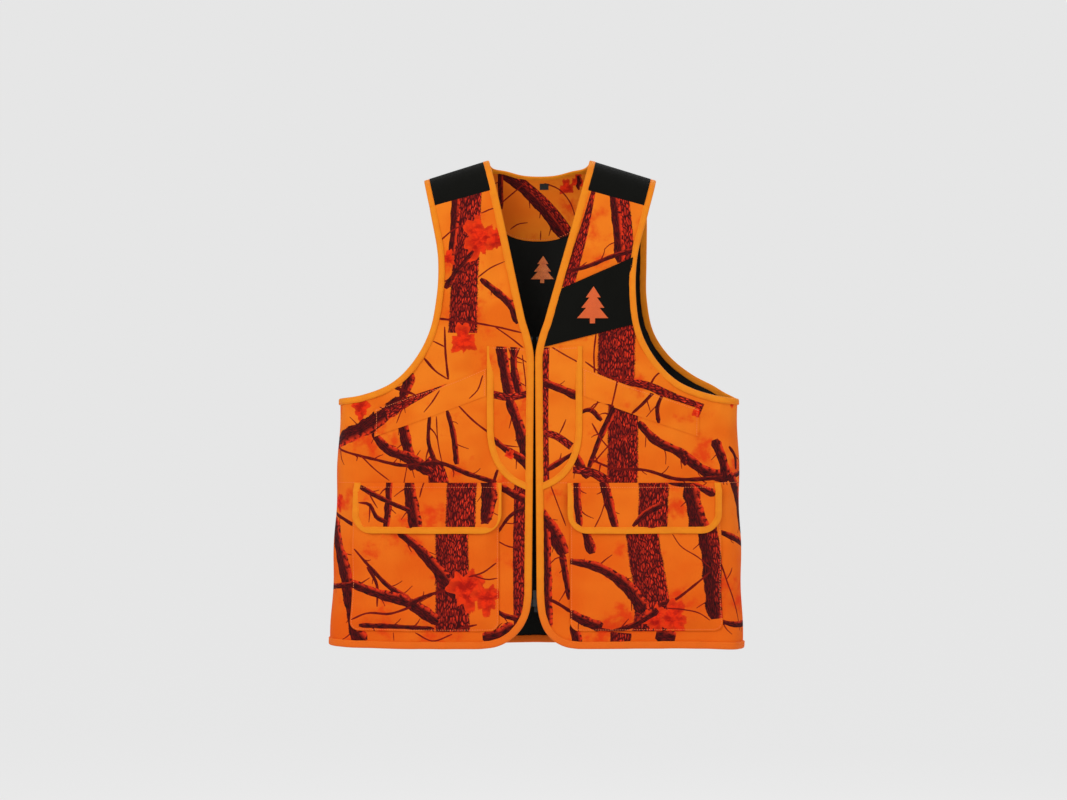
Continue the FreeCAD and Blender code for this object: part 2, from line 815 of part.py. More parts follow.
for name, side in SIDES.items():
    front_pieces = {
        "front_panel": (SHELL, front_outline()),
        "front_lining": (FRONT_LINING, front_outline()),
        "front_edge_binding": (BINDING, strip(front_edge_path(), "edge_binding_width")),
        "front_armhole_binding": (BINDING, strip(
            armhole_path("front_armhole_x", "moving_gap"), -dim("armhole_binding_width"))),
        "chest_patch": (PATCH, chest_patch_outline()),
        "chest_patch_binding": (PATCH_BINDING, strip(
            chest_patch_path(), -dim("patch_binding_width"))),
        "hand_pocket_welt": (PATCH, welt_outline()),
        "hand_pocket_bag": (BAG, bag_outline()),
        "cargo_loop_tape": (LOOP_TAPE, tape_outline()),
        "flap_hook_tape": (HOOK_TAPE, tape_outline()),
        "flap_binding": (FLAP_BINDING, flap_binding_outline()),
    }
    if side == LEFT:
        front_pieces["chest_panel"] = (PATCH, chest_panel_outline())
        front_pieces["chest_emblem"] = (EMBLEM, pine_tree(
            "chest_emblem_x", "chest_emblem_height", "chest_emblem_size"))
    for piece, (layer, outline) in front_pieces.items():
        body = cloth(f"{piece}_{name}", (side,), FRONT, *layer, mirrored(outline, side))
        hang(body, f"{piece}_{name}")

    tray = cloth(f"tray_{name}", (side,), FRONT, *POCKET, mirrored(pocket_outline(), side))
    hollow = cloth(f"hollow_{name}", (side,), FRONT, POCKET[0] - "shell_thickness",
                   "pocket_depth", mirrored(pocket_outline("shell_thickness", 260), side))
    hang(cut_from(f"cargo_pocket_{name}", tray, hollow), f"cargo_pocket_{name}")

    flap_outline = mirrored(closed(flap_path(dim("patch_binding_width") + "layer_gap")), side)
    flap_head = ("flap_top_height", "shell_thickness", FLAP[0] - "moving_gap")
    flap = cloth(f"flap_{name}", (side,), FRONT, *FLAP, flap_outline, flap_head)
    hang(flap, f"flap_{name}")


# ---------------------------------------------------------------- front zip
#
# The zip hangs undone, behind the front edges.  Its slider stays on the left tape.

def across(side, near, far):
    """The low x and the width of a block between two distances from the opening."""
    near = dim(near)
    far = dim(far)
    if side == LEFT:
        return near, far - near
    return -far, far - near


def zip_block(name, side, near, far, thickness, foot, top, middle="zip_depth"):
    """A block of the zip, centred on the zip's depth unless told otherwise."""
    low_x, width = across(side, near, far)
    thickness = dim(thickness)
    return box(name, (low_x, -dim(middle) - thickness * 0.5, foot),
               (width, thickness, dim(top) - foot))


def rod_across(name, x, y, height, radius, length):
    """A round rod that lies across the vest."""
    rod = doc.addObject("Part::Cylinder", name)
    rod.Placement = FreeCAD.Placement(Vector(0, 0, 0), FreeCAD.Rotation(Vector(0, 1, 0), 90))
    bind(rod, "Radius", radius)
    bind(rod, "Height", length)
    for axis, size in zip("xyz", (x, y, height)):
        bind(rod, f"Placement.Base.{axis}", size)
    return rod


# thicknesses from front to back, and how far the tape reaches from the opening
TAPE_THICKNESS = 0.6
TAPE_SEWN_THICKNESS = 3.1
TAPE_SEWN_FROM = 11
TAPE_REACH = 17
STOP_THICKNESS = 2.8
PIN_THICKNESS = 2.2
BOX_THICKNESS = 5
CHANNEL_THICKNESS = 3.4
SLOT_THICKNESS = 1.8
BAIL_REACH = 3.6
PULL_THICKNESS = 1.4

coil_radius = dim("coil_diameter") * 0.5
coil_near = dim("coil_x") - coil_radius
coil_far = dim("coil_x") + coil_radius
zip_foot = dim("zip_foot_height")
box_top = zip_foot + "zip_box_height"
zip_top = dim("zip_top_height")
tape_top = zip_top + 6
sewn_middle = dim("zip_depth") + (TAPE_SEWN_THICKNESS - TAPE_THICKNESS) / 2
for name, side in SIDES.items():
    web = zip_block(f"zip_web_{name}", side, coil_far + "layer_gap", TAPE_REACH,
                    TAPE_THICKNESS, zip_foot, tape_top)
    sewn = zip_block(f"zip_sewn_{name}", side, TAPE_SEWN_FROM, TAPE_REACH,
                     TAPE_SEWN_THICKNESS, zip_foot, tape_top, sewn_middle)
    hang(fused(f"zip_tape_{name}", web, sewn), f"zip_tape_{name}")
    coil = doc.addObject("Part::Cylinder", f"zip_coil_{name}")
    bind(coil, "Radius", coil_radius)
    bind(coil, "Height", zip_top - box_top - 0.1)
    bind(coil, "Placement.Base.x", dim("coil_x") * side)
    bind(coil, "Placement.Base.y", -dim("zip_depth"))
    hang(coil, f"zip_coil_{name}", box_top + 0.1)
    stop = zip_block(f"zip_top_stop_{name}", side, coil_near, coil_far, STOP_THICKNESS, 0, 4)
    hang(stop, f"zip_top_stop_{name}", zip_top + 0.1)

pin = zip_block("pin", RIGHT, coil_near, coil_far, PIN_THICKNESS, 0, "zip_box_height")
hang(pin, "zip_pin_right", zip_foot)
retainer = zip_block("retainer", LEFT, -2.2, coil_far, BOX_THICKNESS, 0, "zip_box_height")
hang(retainer, "zip_box_left", zip_foot)

slider_far = dim("slider_left_x")
slider_near = slider_far - "slider_width"
slider_foot = box_top + 0.5
slider_top = slider_foot + "slider_height"
slider_middle = slider_foot + dim("slider_height") * 0.5
channel = (coil_near - 4.2, coil_far + 0.5)
slider_face = dim("slider_thickness") * 0.5 - "zip_depth"
slider = cut_from(
    "slider_with_slots",
    zip_block("slider_block", LEFT, slider_near, slider_far, "slider_thickness",
              slider_foot, slider_top),
    fused("slider_hollow",
          zip_block("slider_channel", LEFT, *channel, CHANNEL_THICKNESS,
                    slider_foot - 1, slider_top + 1),
          zip_block("slider_slot", LEFT, slider_near - 1, slider_far + 1, SLOT_THICKNESS,
                    slider_foot - 1, slider_top + 1)))
wedge = zip_block("slider_wedge", LEFT, coil_near - 1.4, coil_near - 0.6, CHANNEL_THICKNESS,
                  slider_middle, slider_top)
pivot_y = slider_face + BAIL_REACH / 2
bail_middle = (slider_near + slider_far) * 0.5
bail = cut_from(
    "bail_with_eye",
    box("bail_block", (bail_middle - 1.1, slider_face, slider_middle - 3.5),
        (2.2, BAIL_REACH, 7)),
    rod_across("bail_eye", bail_middle - 5, pivot_y, slider_middle, 1, 10))
hang(fused("slider", slider, wedge, bail), "zip_slider")

pull_half = dim("pull_width") * 0.5
arms = [
    box(f"pull_arm_{name}", (bail_middle + reach, pivot_y - 0.8, slider_middle - 8),
        (1.1, 1.6, 8.8))
    for name, reach in (("near", -2.6), ("far", 1.5))
]
pull_bar = rod_across("pull_bar", bail_middle - 2.6, pivot_y, slider_middle, 0.8, 5.2)
pull_plate = box("pull_plate", (bail_middle - pull_half, pivot_y - PULL_THICKNESS / 2,
                                slider_middle - "pull_length"),
                 ("pull_width", PULL_THICKNESS, dim("pull_length") - 7))
hang(fused("pull", pull_bar, pull_plate, *arms), "zip_pull")


# ---------------------------------------------------------------- check and write

doc.recompute()
for item in doc.Objects:
    if {"Invalid", "Error"} & set(item.State):
        raise RuntimeError(f"{item.Name} ({item.Label}) failed: {item.State}")
for piece in finished:
    shape = piece.Shape
    if shape.isNull() or not shape.isValid() or not shape.Solids:
        raise RuntimeError(f"{piece.Label} has no valid solid")
    print(f"{piece.Label}: {len(shape.Solids)} solid, {shape.Volume / 1000:.1f} cm3")
    shape.exportStep(f"parts/{piece.Label}.step")
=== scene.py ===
"""Looks of the blaze orange field vest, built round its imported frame.

Right and left are the wearer's: the right side lies towards -X and the front faces -Y.
Lengths are in millimetres, and heights are above the hem, until a piece is written out.
Each cloth piece is drawn flat, as (u, height) with u measured round the body from its
middle, and is then laid on the body's form at a distance outside the shell cloth.
"""

import math
import random

import bpy
import numpy as np
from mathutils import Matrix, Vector, geometry


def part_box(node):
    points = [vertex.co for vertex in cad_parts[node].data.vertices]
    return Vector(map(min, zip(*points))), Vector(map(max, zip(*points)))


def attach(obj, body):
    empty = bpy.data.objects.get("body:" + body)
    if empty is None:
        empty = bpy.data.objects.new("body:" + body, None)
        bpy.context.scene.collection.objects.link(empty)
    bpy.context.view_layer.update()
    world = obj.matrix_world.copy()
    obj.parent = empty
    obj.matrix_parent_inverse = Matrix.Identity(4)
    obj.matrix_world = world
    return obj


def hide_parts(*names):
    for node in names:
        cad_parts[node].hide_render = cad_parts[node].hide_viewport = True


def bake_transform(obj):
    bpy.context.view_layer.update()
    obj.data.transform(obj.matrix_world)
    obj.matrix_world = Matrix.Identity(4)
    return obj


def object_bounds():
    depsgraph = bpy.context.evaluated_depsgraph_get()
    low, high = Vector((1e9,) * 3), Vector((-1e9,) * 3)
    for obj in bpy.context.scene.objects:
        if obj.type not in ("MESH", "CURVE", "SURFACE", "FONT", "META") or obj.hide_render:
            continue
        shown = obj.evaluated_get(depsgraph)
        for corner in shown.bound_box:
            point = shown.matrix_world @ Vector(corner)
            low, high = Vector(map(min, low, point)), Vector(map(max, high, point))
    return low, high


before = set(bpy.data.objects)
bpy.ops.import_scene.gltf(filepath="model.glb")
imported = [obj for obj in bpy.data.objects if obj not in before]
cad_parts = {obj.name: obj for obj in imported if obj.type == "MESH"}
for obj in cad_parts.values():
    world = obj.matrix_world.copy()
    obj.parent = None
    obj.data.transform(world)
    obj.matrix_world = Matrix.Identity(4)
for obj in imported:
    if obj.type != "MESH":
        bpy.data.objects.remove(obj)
cad_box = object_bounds()

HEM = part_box("back_hem_binding")[0].z * 1000
RIGHT = -1
LEFT = 1
SIDES = {"right": RIGHT, "left": LEFT}
FRONT = -1
BACK = 1

# the form that the cloth lies on: a broad arc, front and back, with rounded sides
HALF_WIDTH = 301.0
HALF_DEPTH = 54.0
SIDE_RADIUS = 42.0
INSET = HALF_WIDTH - SIDE_RADIUS
BROAD_RADIUS = (INSET ** 2 + HALF_DEPTH ** 2 - SIDE_RADIUS ** 2) / (2 * (HALF_DEPTH - SIDE_RADIUS))
BEND_ANGLE = math.asin(INSET / (BROAD_RADIUS - SIDE_RADIUS))
BEND = BROAD_RADIUS * BEND_ANGLE
BEND_X = BROAD_RADIUS * math.sin(BEND_ANGLE)
HALF_GIRTH = BEND + SIDE_RADIUS * (math.pi / 2 - BEND_ANGLE)
UNDERARM = 366.0

# shoulders
SHOULDER_HEIGHT = 667.0
SHOULDER_X = 61.0
SHOULDER_LENGTH = 103.5
SLOPE = math.radians(14.8)
NECK_RADIUS = 53.3
TIP_RADIUS = 49.4
YOKE_RISE = 6.0

# layers: distance of the outer face outside the shell cloth's outer face, and thickness
SHELL = (0.0, 1.2)
BAG = (-1.3, 0.5)
FRONT_LINING = (-1.9, 0.8)
BACK_LINING = (-1.3, 0.8)
FACING = (-2.2, 0.8)
LABEL = (-3.1, 0.5)
LINING_EMBLEM = (-2.15, 0.3)
YOKE = (0.4, 1.4)
PATCH = (1.2, 1.1)
PANEL = (1.5, 1.4)
PANEL_EMBLEM = (2.3, 0.8)
BINDING = (0.6, 3.8)
FRONT_BINDING = (2.3, 5.5)
PATCH_BINDING = (2.2, 2.6)
FLAP_BINDING = (0.6, 2.6)
ZIP_TAPE = (0.0, 0.6)

# the same, measured from where its lift takes a pocket or a flap
POCKET_CLOTH = (1.3, 1.2)
LOOP_TAPE = (2.2, 0.8)
FLAP_CLOTH = (0.0, 1.2)
HOOK_TAPE = (-1.25, 0.7)

# stitches, and how far in from a binding's inner edge they lie
STITCH_PITCH = 3.6
STITCH_LENGTH = 2.6
STITCH_RADIUS = 0.32
STITCH_SPOKES = 5
STITCH_INSET = 1.8


# ---------------------------------------------------------------- curves in the flat

def unit(vectors):
    """Vectors, one to a row, with their lengths made 1."""
    return vectors / (np.linalg.norm(vectors, axis=1)[:, None] + 1e-9)


def run_of(line):
    """The distance along a line to each of its points."""
    return np.append(0, np.cumsum(np.linalg.norm(np.diff(line, axis=0), axis=1)))


def even(line, step):
    """A line again, with its points a step apart."""
    line = np.asarray(line, float)
    along = run_of(line)
    count = max(2, int(round(along[-1] / step)) + 1)
    stops = np.linspace(0, along[-1], count)
    return np.stack([np.interp(stops, along, axis) for axis in line.T], 1)


def filled(outline, step=5.0):
    """An outline with extra points on its long straight edges."""
    parts = [even([a, b], step)[:-1] if np.linalg.norm(b - a) > step * 1.5 else a[None]
             for a, b in zip(outline, np.roll(outline, -1, 0))]
    return np.concatenate(parts)


def curve(points, step=4.0):
    """A smooth curve through points, as a line with its points a step apart."""
    points = np.asarray(points, float)
    if len(points) == 2:
        return even(points, step)
    along = run_of(points)
    slopes = np.gradient(points, along, axis=0)
    fine = np.linspace(0, along[-1], int(along[-1] / 0.8) + 2)
    index = np.clip(np.searchsorted(along, fine, side="right") - 1, 0, len(along) - 2)
    span = (along[index + 1] - along[index])[:, None]
    t = (fine - along[index])[:, None] / span
    line = ((2 * t ** 3 - 3 * t ** 2 + 1) * points[index]
            + (t ** 3 - 2 * t ** 2 + t) * span * slopes[index]
            + (3 * t ** 2 - 2 * t ** 3) * points[index + 1]
            + (t ** 3 - t ** 2) * span * slopes[index + 1])
    return even(line, step)


def joined(*lines):
    """Lines that follow each other, as one."""
    parts = [lines[0]]
    for line in lines[1:]:
        near = np.linalg.norm(parts[-1][-1] - line[0]) < 0.5
        parts.append(line[1:] if near else line)
    return np.concatenate(parts)


def smoothed(line, passes):
    """A line with its corners eased."""
    line = np.array(line)
    for _ in range(passes):
        line[1:-1] = (line[:-2] + line[1:-1] * 2 + line[2:]) / 4
    return line


def sides_of(line):
    """Unit directions to the left of a line."""
    tangent = unit(np.gradient(line, axis=0))
    return np.stack([-tangent[:, 1], tangent[:, 0]], 1)


def beside(line, distance):
    """A line moved to its left by a distance."""
    return line + sides_of(line) * distance


def flipped(line, side):
    """A line drawn for the left, mirrored where the side is the right."""
    line = np.array(line, float)
    line[:, 0] *= side
    return line


def mirrored(half):
    """A line from the left, through the middle line where its right half starts, to the right."""
    return [(-x, height) for x, height in half[:0:-1]] + half


def arc_of(line):
    """A line seen from the front, with x turned into distance round the body."""
    line = np.array(line, float)
    width = np.abs(line[:, 0])
    broad = BROAD_RADIUS * np.arcsin(width / BROAD_RADIUS)
    cosine = np.clip((width - INSET) / SIDE_RADIUS, 0, 1)
    round_side = BEND + SIDE_RADIUS * (np.arcsin(cosine) - BEND_ANGLE)
    line[:, 0] = np.sign(line[:, 0]) * np.where(width < BEND_X, broad, round_side)
    return line


def area_of(outline):
    """The area inside an outline, negative where it runs clockwise."""
    x, z = np.asarray(outline, float).T
    return float(np.sum(x * np.roll(z, -1) - np.roll(x, -1) * z) / 2)


# ---------------------------------------------------------------- laying cloth on the form

def ease(value, low, high):
    """Smooth rise from 0 at low to 1 at high."""
    t = np.clip((value - low) / (high - low), 0, 1)
    return t * t * (3 - 2 * t)


# broad folds: height, wavelength round the body, wavelength up it (0 is none), phase
FOLDS = {
    (FRONT, RIGHT): [(1.6, 170, 0, 0.6), (1.4, 95, 310, 1.9), (0.9, -61, 190, 0.2),
                     (0.6, 43, -240, 2.6), (1.0, 0, 150, 1.0), (0.3, 23, 90, 0.4)],
    (FRONT, LEFT): [(1.5, 150, 0, 2.2), (1.4, -105, 280, 0.4), (0.9, 57, 210, 1.3),
                    (0.6, -47, -180, 0.9), (1.0, 0, 135, 2.4), (0.3, -26, 80, 1.7)],
    (BACK, RIGHT): [(2.8, 210, 900, 0.3), (2.0, -120, 520, 1.1), (1.3, 74, -260, 2.0),
                    (1.4, 0, 190, 0.5), (0.6, 39, 310, 0.8)],
}
FOLDS[(BACK, LEFT)] = FOLDS[(BACK, RIGHT)]


def relief(u, z, face):
    """How far the folds lift the cloth."""
    total = np.zeros_like(u)
    for side in (RIGHT, LEFT):
        lift = np.zeros_like(u)
        for height, round_length, up_length, phase in FOLDS[(face, side)]:
            turn = phase + u * (2 * math.pi / round_length if round_length else 0)
            turn = turn + z * (2 * math.pi / up_length if up_length else 0)
            lift += height * np.sin(turn)
        total = np.where(u * side >= 0, lift, total)
    middle = ease(np.abs(u), 14, 70) if face == FRONT else 1.0
    ends = ease(HALF_GIRTH - np.abs(u), 0, 45) * ease(650 - z, 0, 90)
    return total * middle * ends


def settle(points):
    """How the whole vest hangs a little unevenly: it leans and is taken in at the underarms."""
    x, y, z = points.T
    share = np.minimum(np.abs(x) / HALF_WIDTH, 1.1) ** 3
    up = np.clip((z - 60) / (UNDERARM - 60), -0.2, 1.15)
    shift = np.where(x < 0, 1 + 13 * up, 6 - 7 * up) * share
    waver = share * np.sin(z / 19.0) * 1.1 * np.sign(x)
    lean = 7.0 * ease(z, 430, 700)
    drop = share * 3.0 * np.sin(x / 70.0) * ease(60 - z, 0, 60)
    return np.stack([x + shift + waver + lean, y, z + drop], 1)


def body_place(face):
    """The way points of the front or the back are laid on the form."""
    def place(u, z, out):
        w = np.abs(u)
        broad = w <= BEND
        out = out + relief(u, z, face)
        angle = np.where(broad, w / BROAD_RADIUS, BEND_ANGLE + (w - BEND) / SIDE_RADIUS)
        x = np.where(broad, (BROAD_RADIUS + out) * np.sin(angle),
                     INSET + (SIDE_RADIUS + out) * np.sin(angle))
        y = np.where(broad, HALF_DEPTH - BROAD_RADIUS + (BROAD_RADIUS + out) * np.cos(angle),
                     (SIDE_RADIUS + out) * np.cos(angle))
        rise = np.clip(z - SHOULDER_HEIGHT, 0, HALF_DEPTH - 1)
        tilt = np.arcsin(rise / HALF_DEPTH)
        height = z - rise + y * np.sin(tilt)
        return settle(np.stack([np.sign(u) * x, face * y * np.cos(tilt), height], 1))
    return place


def shoulder_seen(distance, rise):
    """A point over the left shoulder's axis, seen from the front."""
    return (SHOULDER_X + distance * math.cos(SLOPE) + rise * math.sin(SLOPE),
            SHOULDER_HEIGHT - distance * math.sin(SLOPE) + rise * math.cos(SLOPE))


def shoulder_place(side):
    """The way points are laid over a shoulder, from a distance down it and an angle over it."""
    def place(distance, angle, out):
        radius = NECK_RADIUS - (NECK_RADIUS - TIP_RADIUS) * distance / SHOULDER_LENGTH + out
        x, z = shoulder_seen(distance, radius * np.sin(angle))
        return settle(np.stack([side * x, -radius * np.cos(angle), z], 1))
    return place


ON_FRONT = body_place(FRONT)
ON_BACK = body_place(BACK)


def lifted(place, lift):
    """A way to lay cloth that is raised by a lift, which changes over the cloth."""
    def lay(u, z, out):
        return place(u, z, out + lift(u, z))
    return lay


def frames_on(place, line, out=0.0):
    """Points and outward directions of a line laid on the form."""
    u, z = np.asarray(line, float).T
    points = place(u, z, np.full_like(u, out))
    return points, unit(place(u, z, np.full_like(u, out + 1.0)) - points)


def edge_points(place, line):
    """Points with outward directions, in one row each, of a line laid on the form."""
    return np.concatenate(frames_on(place, line), 1)


# ---------------------------------------------------------------- meshes

# kinds of paint: 0 is the bare ground
BARK, LIMB, LEAF, THREAD = range(1, 5)
LEAF_SHARE = 0.85
WIDEST_PAINTED = 90


class Maker:
    """Gathers one piece's points and faces.

    Each point has a place on its flat cloth, and each face corner has paint: across the
    branch from -1 to 1, along it (negative where another lies under it), and its kind
    plus its half width in decimetres.
    """

    def __init__(self):
        self.points = []
        self.flats = []
        self.faces = []
        self.paints = []
        self.count = 0

    def add_faces(self, faces, start, paints=None):
        """Faces between points that are numbered from a start."""
        faces = np.asarray(faces, int)
        if paints is None:
            paints = np.zeros((*faces.shape, 3))
        self.faces.append(faces + start)
        self.paints.append(paints.reshape(-1, 3))

    def add(self, points, flats, faces, paints=None):
        """Points and the faces between them; returns the number of the first point."""
        start = self.count
        self.points.append(points)
        self.flats.append(flats)
        self.count += len(points)
        self.add_faces(faces, start, paints)
        return start

    def write(self, name):
        """Put the piece into the scene as an object."""
        points = np.concatenate(self.points)
        points[:, 2] += HEM
        faces = [face for block in self.faces for face in block.tolist()]
        mesh = bpy.data.meshes.new(name)
        mesh.from_pydata((points * 0.001).tolist(), [], faces)
        flat = mesh.attributes.new("flat", "FLOAT_VECTOR", "POINT")
        flat.data.foreach_set("vector", (np.concatenate(self.flats) * 0.001).ravel())
        paint = mesh.attributes.new("paint", "FLOAT_VECTOR", "CORNER")
        paint.data.foreach_set("vector", np.concatenate(self.paints).ravel())
        mesh.polygons.foreach_set("use_smooth", [True] * len(faces))
        mesh.set_sharp_from_angle(angle=math.radians(50))
        mesh.update()
        piece = bpy.data.objects.new(name, mesh)
        bpy.context.scene.collection.objects.link(piece)
        return piece


def grid_inside(outline, step):
    """Points of a triangle grid inside an outline, clear of its edge."""
    low = outline.min(0)
    high = outline.max(0)
    rows = np.arange(low[1] + step * 0.5, high[1], step * 0.866)
    points = []
    for index, height in enumerate(rows):
        across = np.arange(low[0] + step * (0.5 if index % 2 else 1.0), high[0], step)
        points.append(np.stack([across, np.full_like(across, height)], 1))
    points = np.concatenate(points)
    ends = np.roll(outline, -1, 0)
    inside = np.zeros(len(points), bool)
    clear = np.full(len(points), 1e9)
    for start, end in zip(outline, ends):
        crosses = (start[1] > points[:, 1]) != (end[1] > points[:, 1])
        height = end[1] - start[1] if abs(end[1] - start[1]) > 1e-9 else 1e-9
        reach = start[0] + (points[:, 1] - start[1]) * (end[0] - start[0]) / height
        inside ^= crosses & (points[:, 0] < reach)
        run = end - start
        t = np.clip((points - start) @ run / max(run @ run, 1e-9), 0, 1)
        clear = np.minimum(clear, np.linalg.norm(points - start - t[:, None] * run, axis=1))
    return points[inside & (clear > step * 0.45)]


def leaf_reach(branch, turn):
    """A ragged leaf's reach from its middle, in a direction."""
    phase = branch["turn"]
    ragged = (0.17 * np.sin(3 * turn + phase) + 0.13 * np.sin(7 * turn + 2 * phase)
              + 0.07 * np.sin(13 * turn + 3 * phase))
    return branch["widths"][0] * (0.84 + ragged)


def ring_of(branch):
    """The outline round a branch, or of a leaf."""
    spine, widths = branch["spine"], branch["widths"]
    if branch["kind"] == LEAF:
        turn = np.linspace(0, 2 * math.pi, 64, endpoint=False)
        reach = leaf_reach(branch, turn)
        return spine[0] + np.stack([np.cos(turn) * reach * LEAF_SHARE, np.sin(turn) * reach], 1)
    left = spine + sides_of(spine) * widths[:, None]
    right = spine - sides_of(spine) * widths[:, None]
    return filled(np.concatenate([right, left[::-1]]))


def paint_corners(branch, corners):
    """Across, along and kind for face corners that lie in a branch or leaf."""
    spine, widths = branch["spine"], branch["widths"]
    paint = np.zeros((len(corners), 3))
    if branch["kind"] == LEAF:
        offset = (corners - spine[0]) / (LEAF_SHARE, 1)
        turn = np.arctan2(offset[:, 1], offset[:, 0])
        paint[:, 0] = np.linalg.norm(offset, axis=1) / leaf_reach(branch, turn)
        paint[:, 1] = 40 + turn * 10
        paint[:, 2] = LEAF + min(widths[0], WIDEST_PAINTED) / 100
        return paint
    best = np.full(len(corners), 1e9)
    starts = spine[:-1]
    runs = spine[1:] - starts
    lengths = np.linalg.norm(runs, axis=1)
    before = run_of(spine)
    for index, (start, run) in enumerate(zip(starts, runs)):
        offset = corners - start
        t = np.clip(offset @ run / max(run @ run, 1e-9), 0, 1)
        near = offset - t[:, None] * run
        distance = np.linalg.norm(near, axis=1)
        closer = distance < best
        best[closer] = distance[closer]
        half = widths[index] + t * (widths[index + 1] - widths[index])
        hand = np.sign(run[0] * near[:, 1] - run[1] * near[:, 0])
        paint[closer, 0] = (hand * distance / half)[closer]
        paint[closer, 1] = (before[index] + t * lengths[index] + branch["turn"] * 37)[closer]
        paint[closer, 2] = (branch["kind"] + np.minimum(half, WIDEST_PAINTED) / 100)[closer]
    return paint


def triangulate(outline, step, branches=()):
    """Triangles inside an outline, whose edges follow the branches printed on it."""
    if area_of(outline) < 0:
        outline = outline[::-1]
    points = [tuple(point) for point in outline]
    rings = [list(range(len(outline)))]
    drawn = []
    low, high = outline.min(0), outline.max(0)
    for branch in branches:
        ring = ring_of(branch)
        if (ring.max(0) < low).any() or (ring.min(0) > high).any():
            continue
        if area_of(ring) < 0:
            ring = ring[::-1]
        rings.append(list(range(len(points), len(points) + len(ring))))
        points += [tuple(point) for point in ring]
        drawn.append(branch)
    points += [tuple(point) for point in grid_inside(outline, step)]
    solved = geometry.delaunay_2d_cdt([Vector(p) for p in points], [], rings, 1, 1e-3)
    flat = np.array([tuple(point) for point in solved[0]])
    faces = []
    owners = []
    crossed = []
    for face, sources in zip(solved[2], solved[5]):
        if 0 in sources and len(face) == 3:
            faces.append(face)
            owners.append(max(sources))
            crossed.append(len(sources) > 2)
    faces = np.array(faces)
    owners = np.array(owners)
    crossed = np.array(crossed)
    paints = np.zeros((len(faces), 3, 3))
    for index, branch in enumerate(drawn, start=1):
        own = owners == index
        if own.any():
            corners = flat[faces[own]].reshape(-1, 2)
            paints[own] = paint_corners(branch, corners).reshape(-1, 3, 3)
    paints[crossed, :, 1] = -1 - paints[crossed, :, 1]
    used = np.unique(faces)
    renumber = np.zeros(len(flat), int)
    renumber[used] = np.arange(len(used))
    return flat[used], renumber[faces], paints


def rim_of(faces):
    """The edges that belong to one face only, in the direction of that face."""
    edges = {}
    for face in faces.tolist():
        for a, b in zip(face, face[1:] + face[:1]):
            edges[(a, b)] = True
    return [(a, b) for a, b in edges if (b, a) not in edges]


def add_cloth(maker, outline, place, outer, thickness, step, branches=(), turned=False):
    """A layer of cloth with an outer face, an inner face and a rim.

    Turned cloth is laid so that u runs to the left, seen from outside.
    """
    flat, faces, paints = triangulate(outline, step, branches)
    u, z = flat.T
    outside = place(u, z, np.full_like(u, outer))
    inside = place(u, z, np.full_like(u, outer - thickness))
    count = len(flat)
    rim = rim_of(faces)
    if turned:
        faces = faces[:, ::-1]
        paints = paints[:, ::-1]
        rim = [(b, a) for a, b in rim]
    flats = np.stack([u, z, z], 1)
    start = maker.add(np.concatenate([outside, inside]), np.concatenate([flats, flats]),
                      np.concatenate([faces, faces[:, ::-1] + count]),
                      np.concatenate([paints, paints[:, ::-1]]))
    maker.add_faces([(b, a, a + count, b + count) for a, b in rim], start)


def tube_faces(rows, size):
    """Point numbers in rows round a tube, and the four-sided faces between the rows."""
    index = np.arange(rows * size).reshape(rows, size)
    a, b = index[:-1], index[1:]
    return index, np.stack([a, np.roll(a, -1, 1), np.roll(b, -1, 1), b], 2).reshape(-1, 4)


def circle_of(first, second, radius, spokes):
    """Steps from a tube's middle to the points round it, between two directions."""
    turn = np.arange(spokes)[None, :, None] * 2 * math.pi / spokes
    return first[:, None] * (np.cos(turn) * radius) + second[:, None] * (np.sin(turn) * radius)


def inward_of(points, outward, hand):
    """Unit directions into the cloth from its edge. The hand says on which side it lies."""
    return unit(np.cross(outward, unit(np.gradient(points, axis=0))) * hand)


def rounded_profile(width, outer, thickness):
    """Section of a binding folded round a cloth edge: (distance in from the edge, height)."""
    fold = thickness * 0.5
    bend = [(fold * (1 - math.cos(a)), outer - fold + fold * math.sin(a))
            for a in np.linspace(math.radians(80), math.radians(-80), 7)]
    top = [(width, outer - 0.75), (width - 0.5, outer - 0.2), (width - 1.6, outer - 0.12),
           (width - 2.6, outer + 0.02), (width * 0.5, outer + 0.1)]
    bottom = [(across, 2 * (outer - fold) - height) for across, height in top[::-1]]
    return np.array(top + bend + bottom)


def add_binding(maker, points, outward, width, outer, thickness, hand):
    """Folded tape along an edge. The hand, 1 or -1, says which way the cloth lies."""
    inward = inward_of(points, outward, hand)
    profile = rounded_profile(width, outer, thickness)
    along = run_of(points)
    swell = 1 + 0.012 * np.sin(along / 2.9) + 0.01 * np.sin(along / 7.3)
    grid = (points[:, None]
            + inward[:, None] * (profile[None, :, :1] * swell[:, None, None])
            + outward[:, None] * profile[None, :, 1:])
    size = len(profile)
    around = run_of(profile)
    flats = np.stack(np.broadcast_arrays(along[:, None], around[None], grid[:, :, 2]), 2)
    index, quads = tube_faces(len(points), size)
    if hand > 0:
        quads = quads[:, ::-1]
    start = maker.add(grid.reshape(-1, 3), flats.reshape(-1, 3), quads)
    for ring, reverse in ((index[0], hand < 0), (index[-1], hand > 0)):
        cap = np.array([(ring[i], ring[i + 1], ring[size - 2 - i], ring[size - 1 - i])
                        for i in range(size // 2 - 1)])
        maker.add_faces(cap[:, ::-1] if reverse else cap, start)


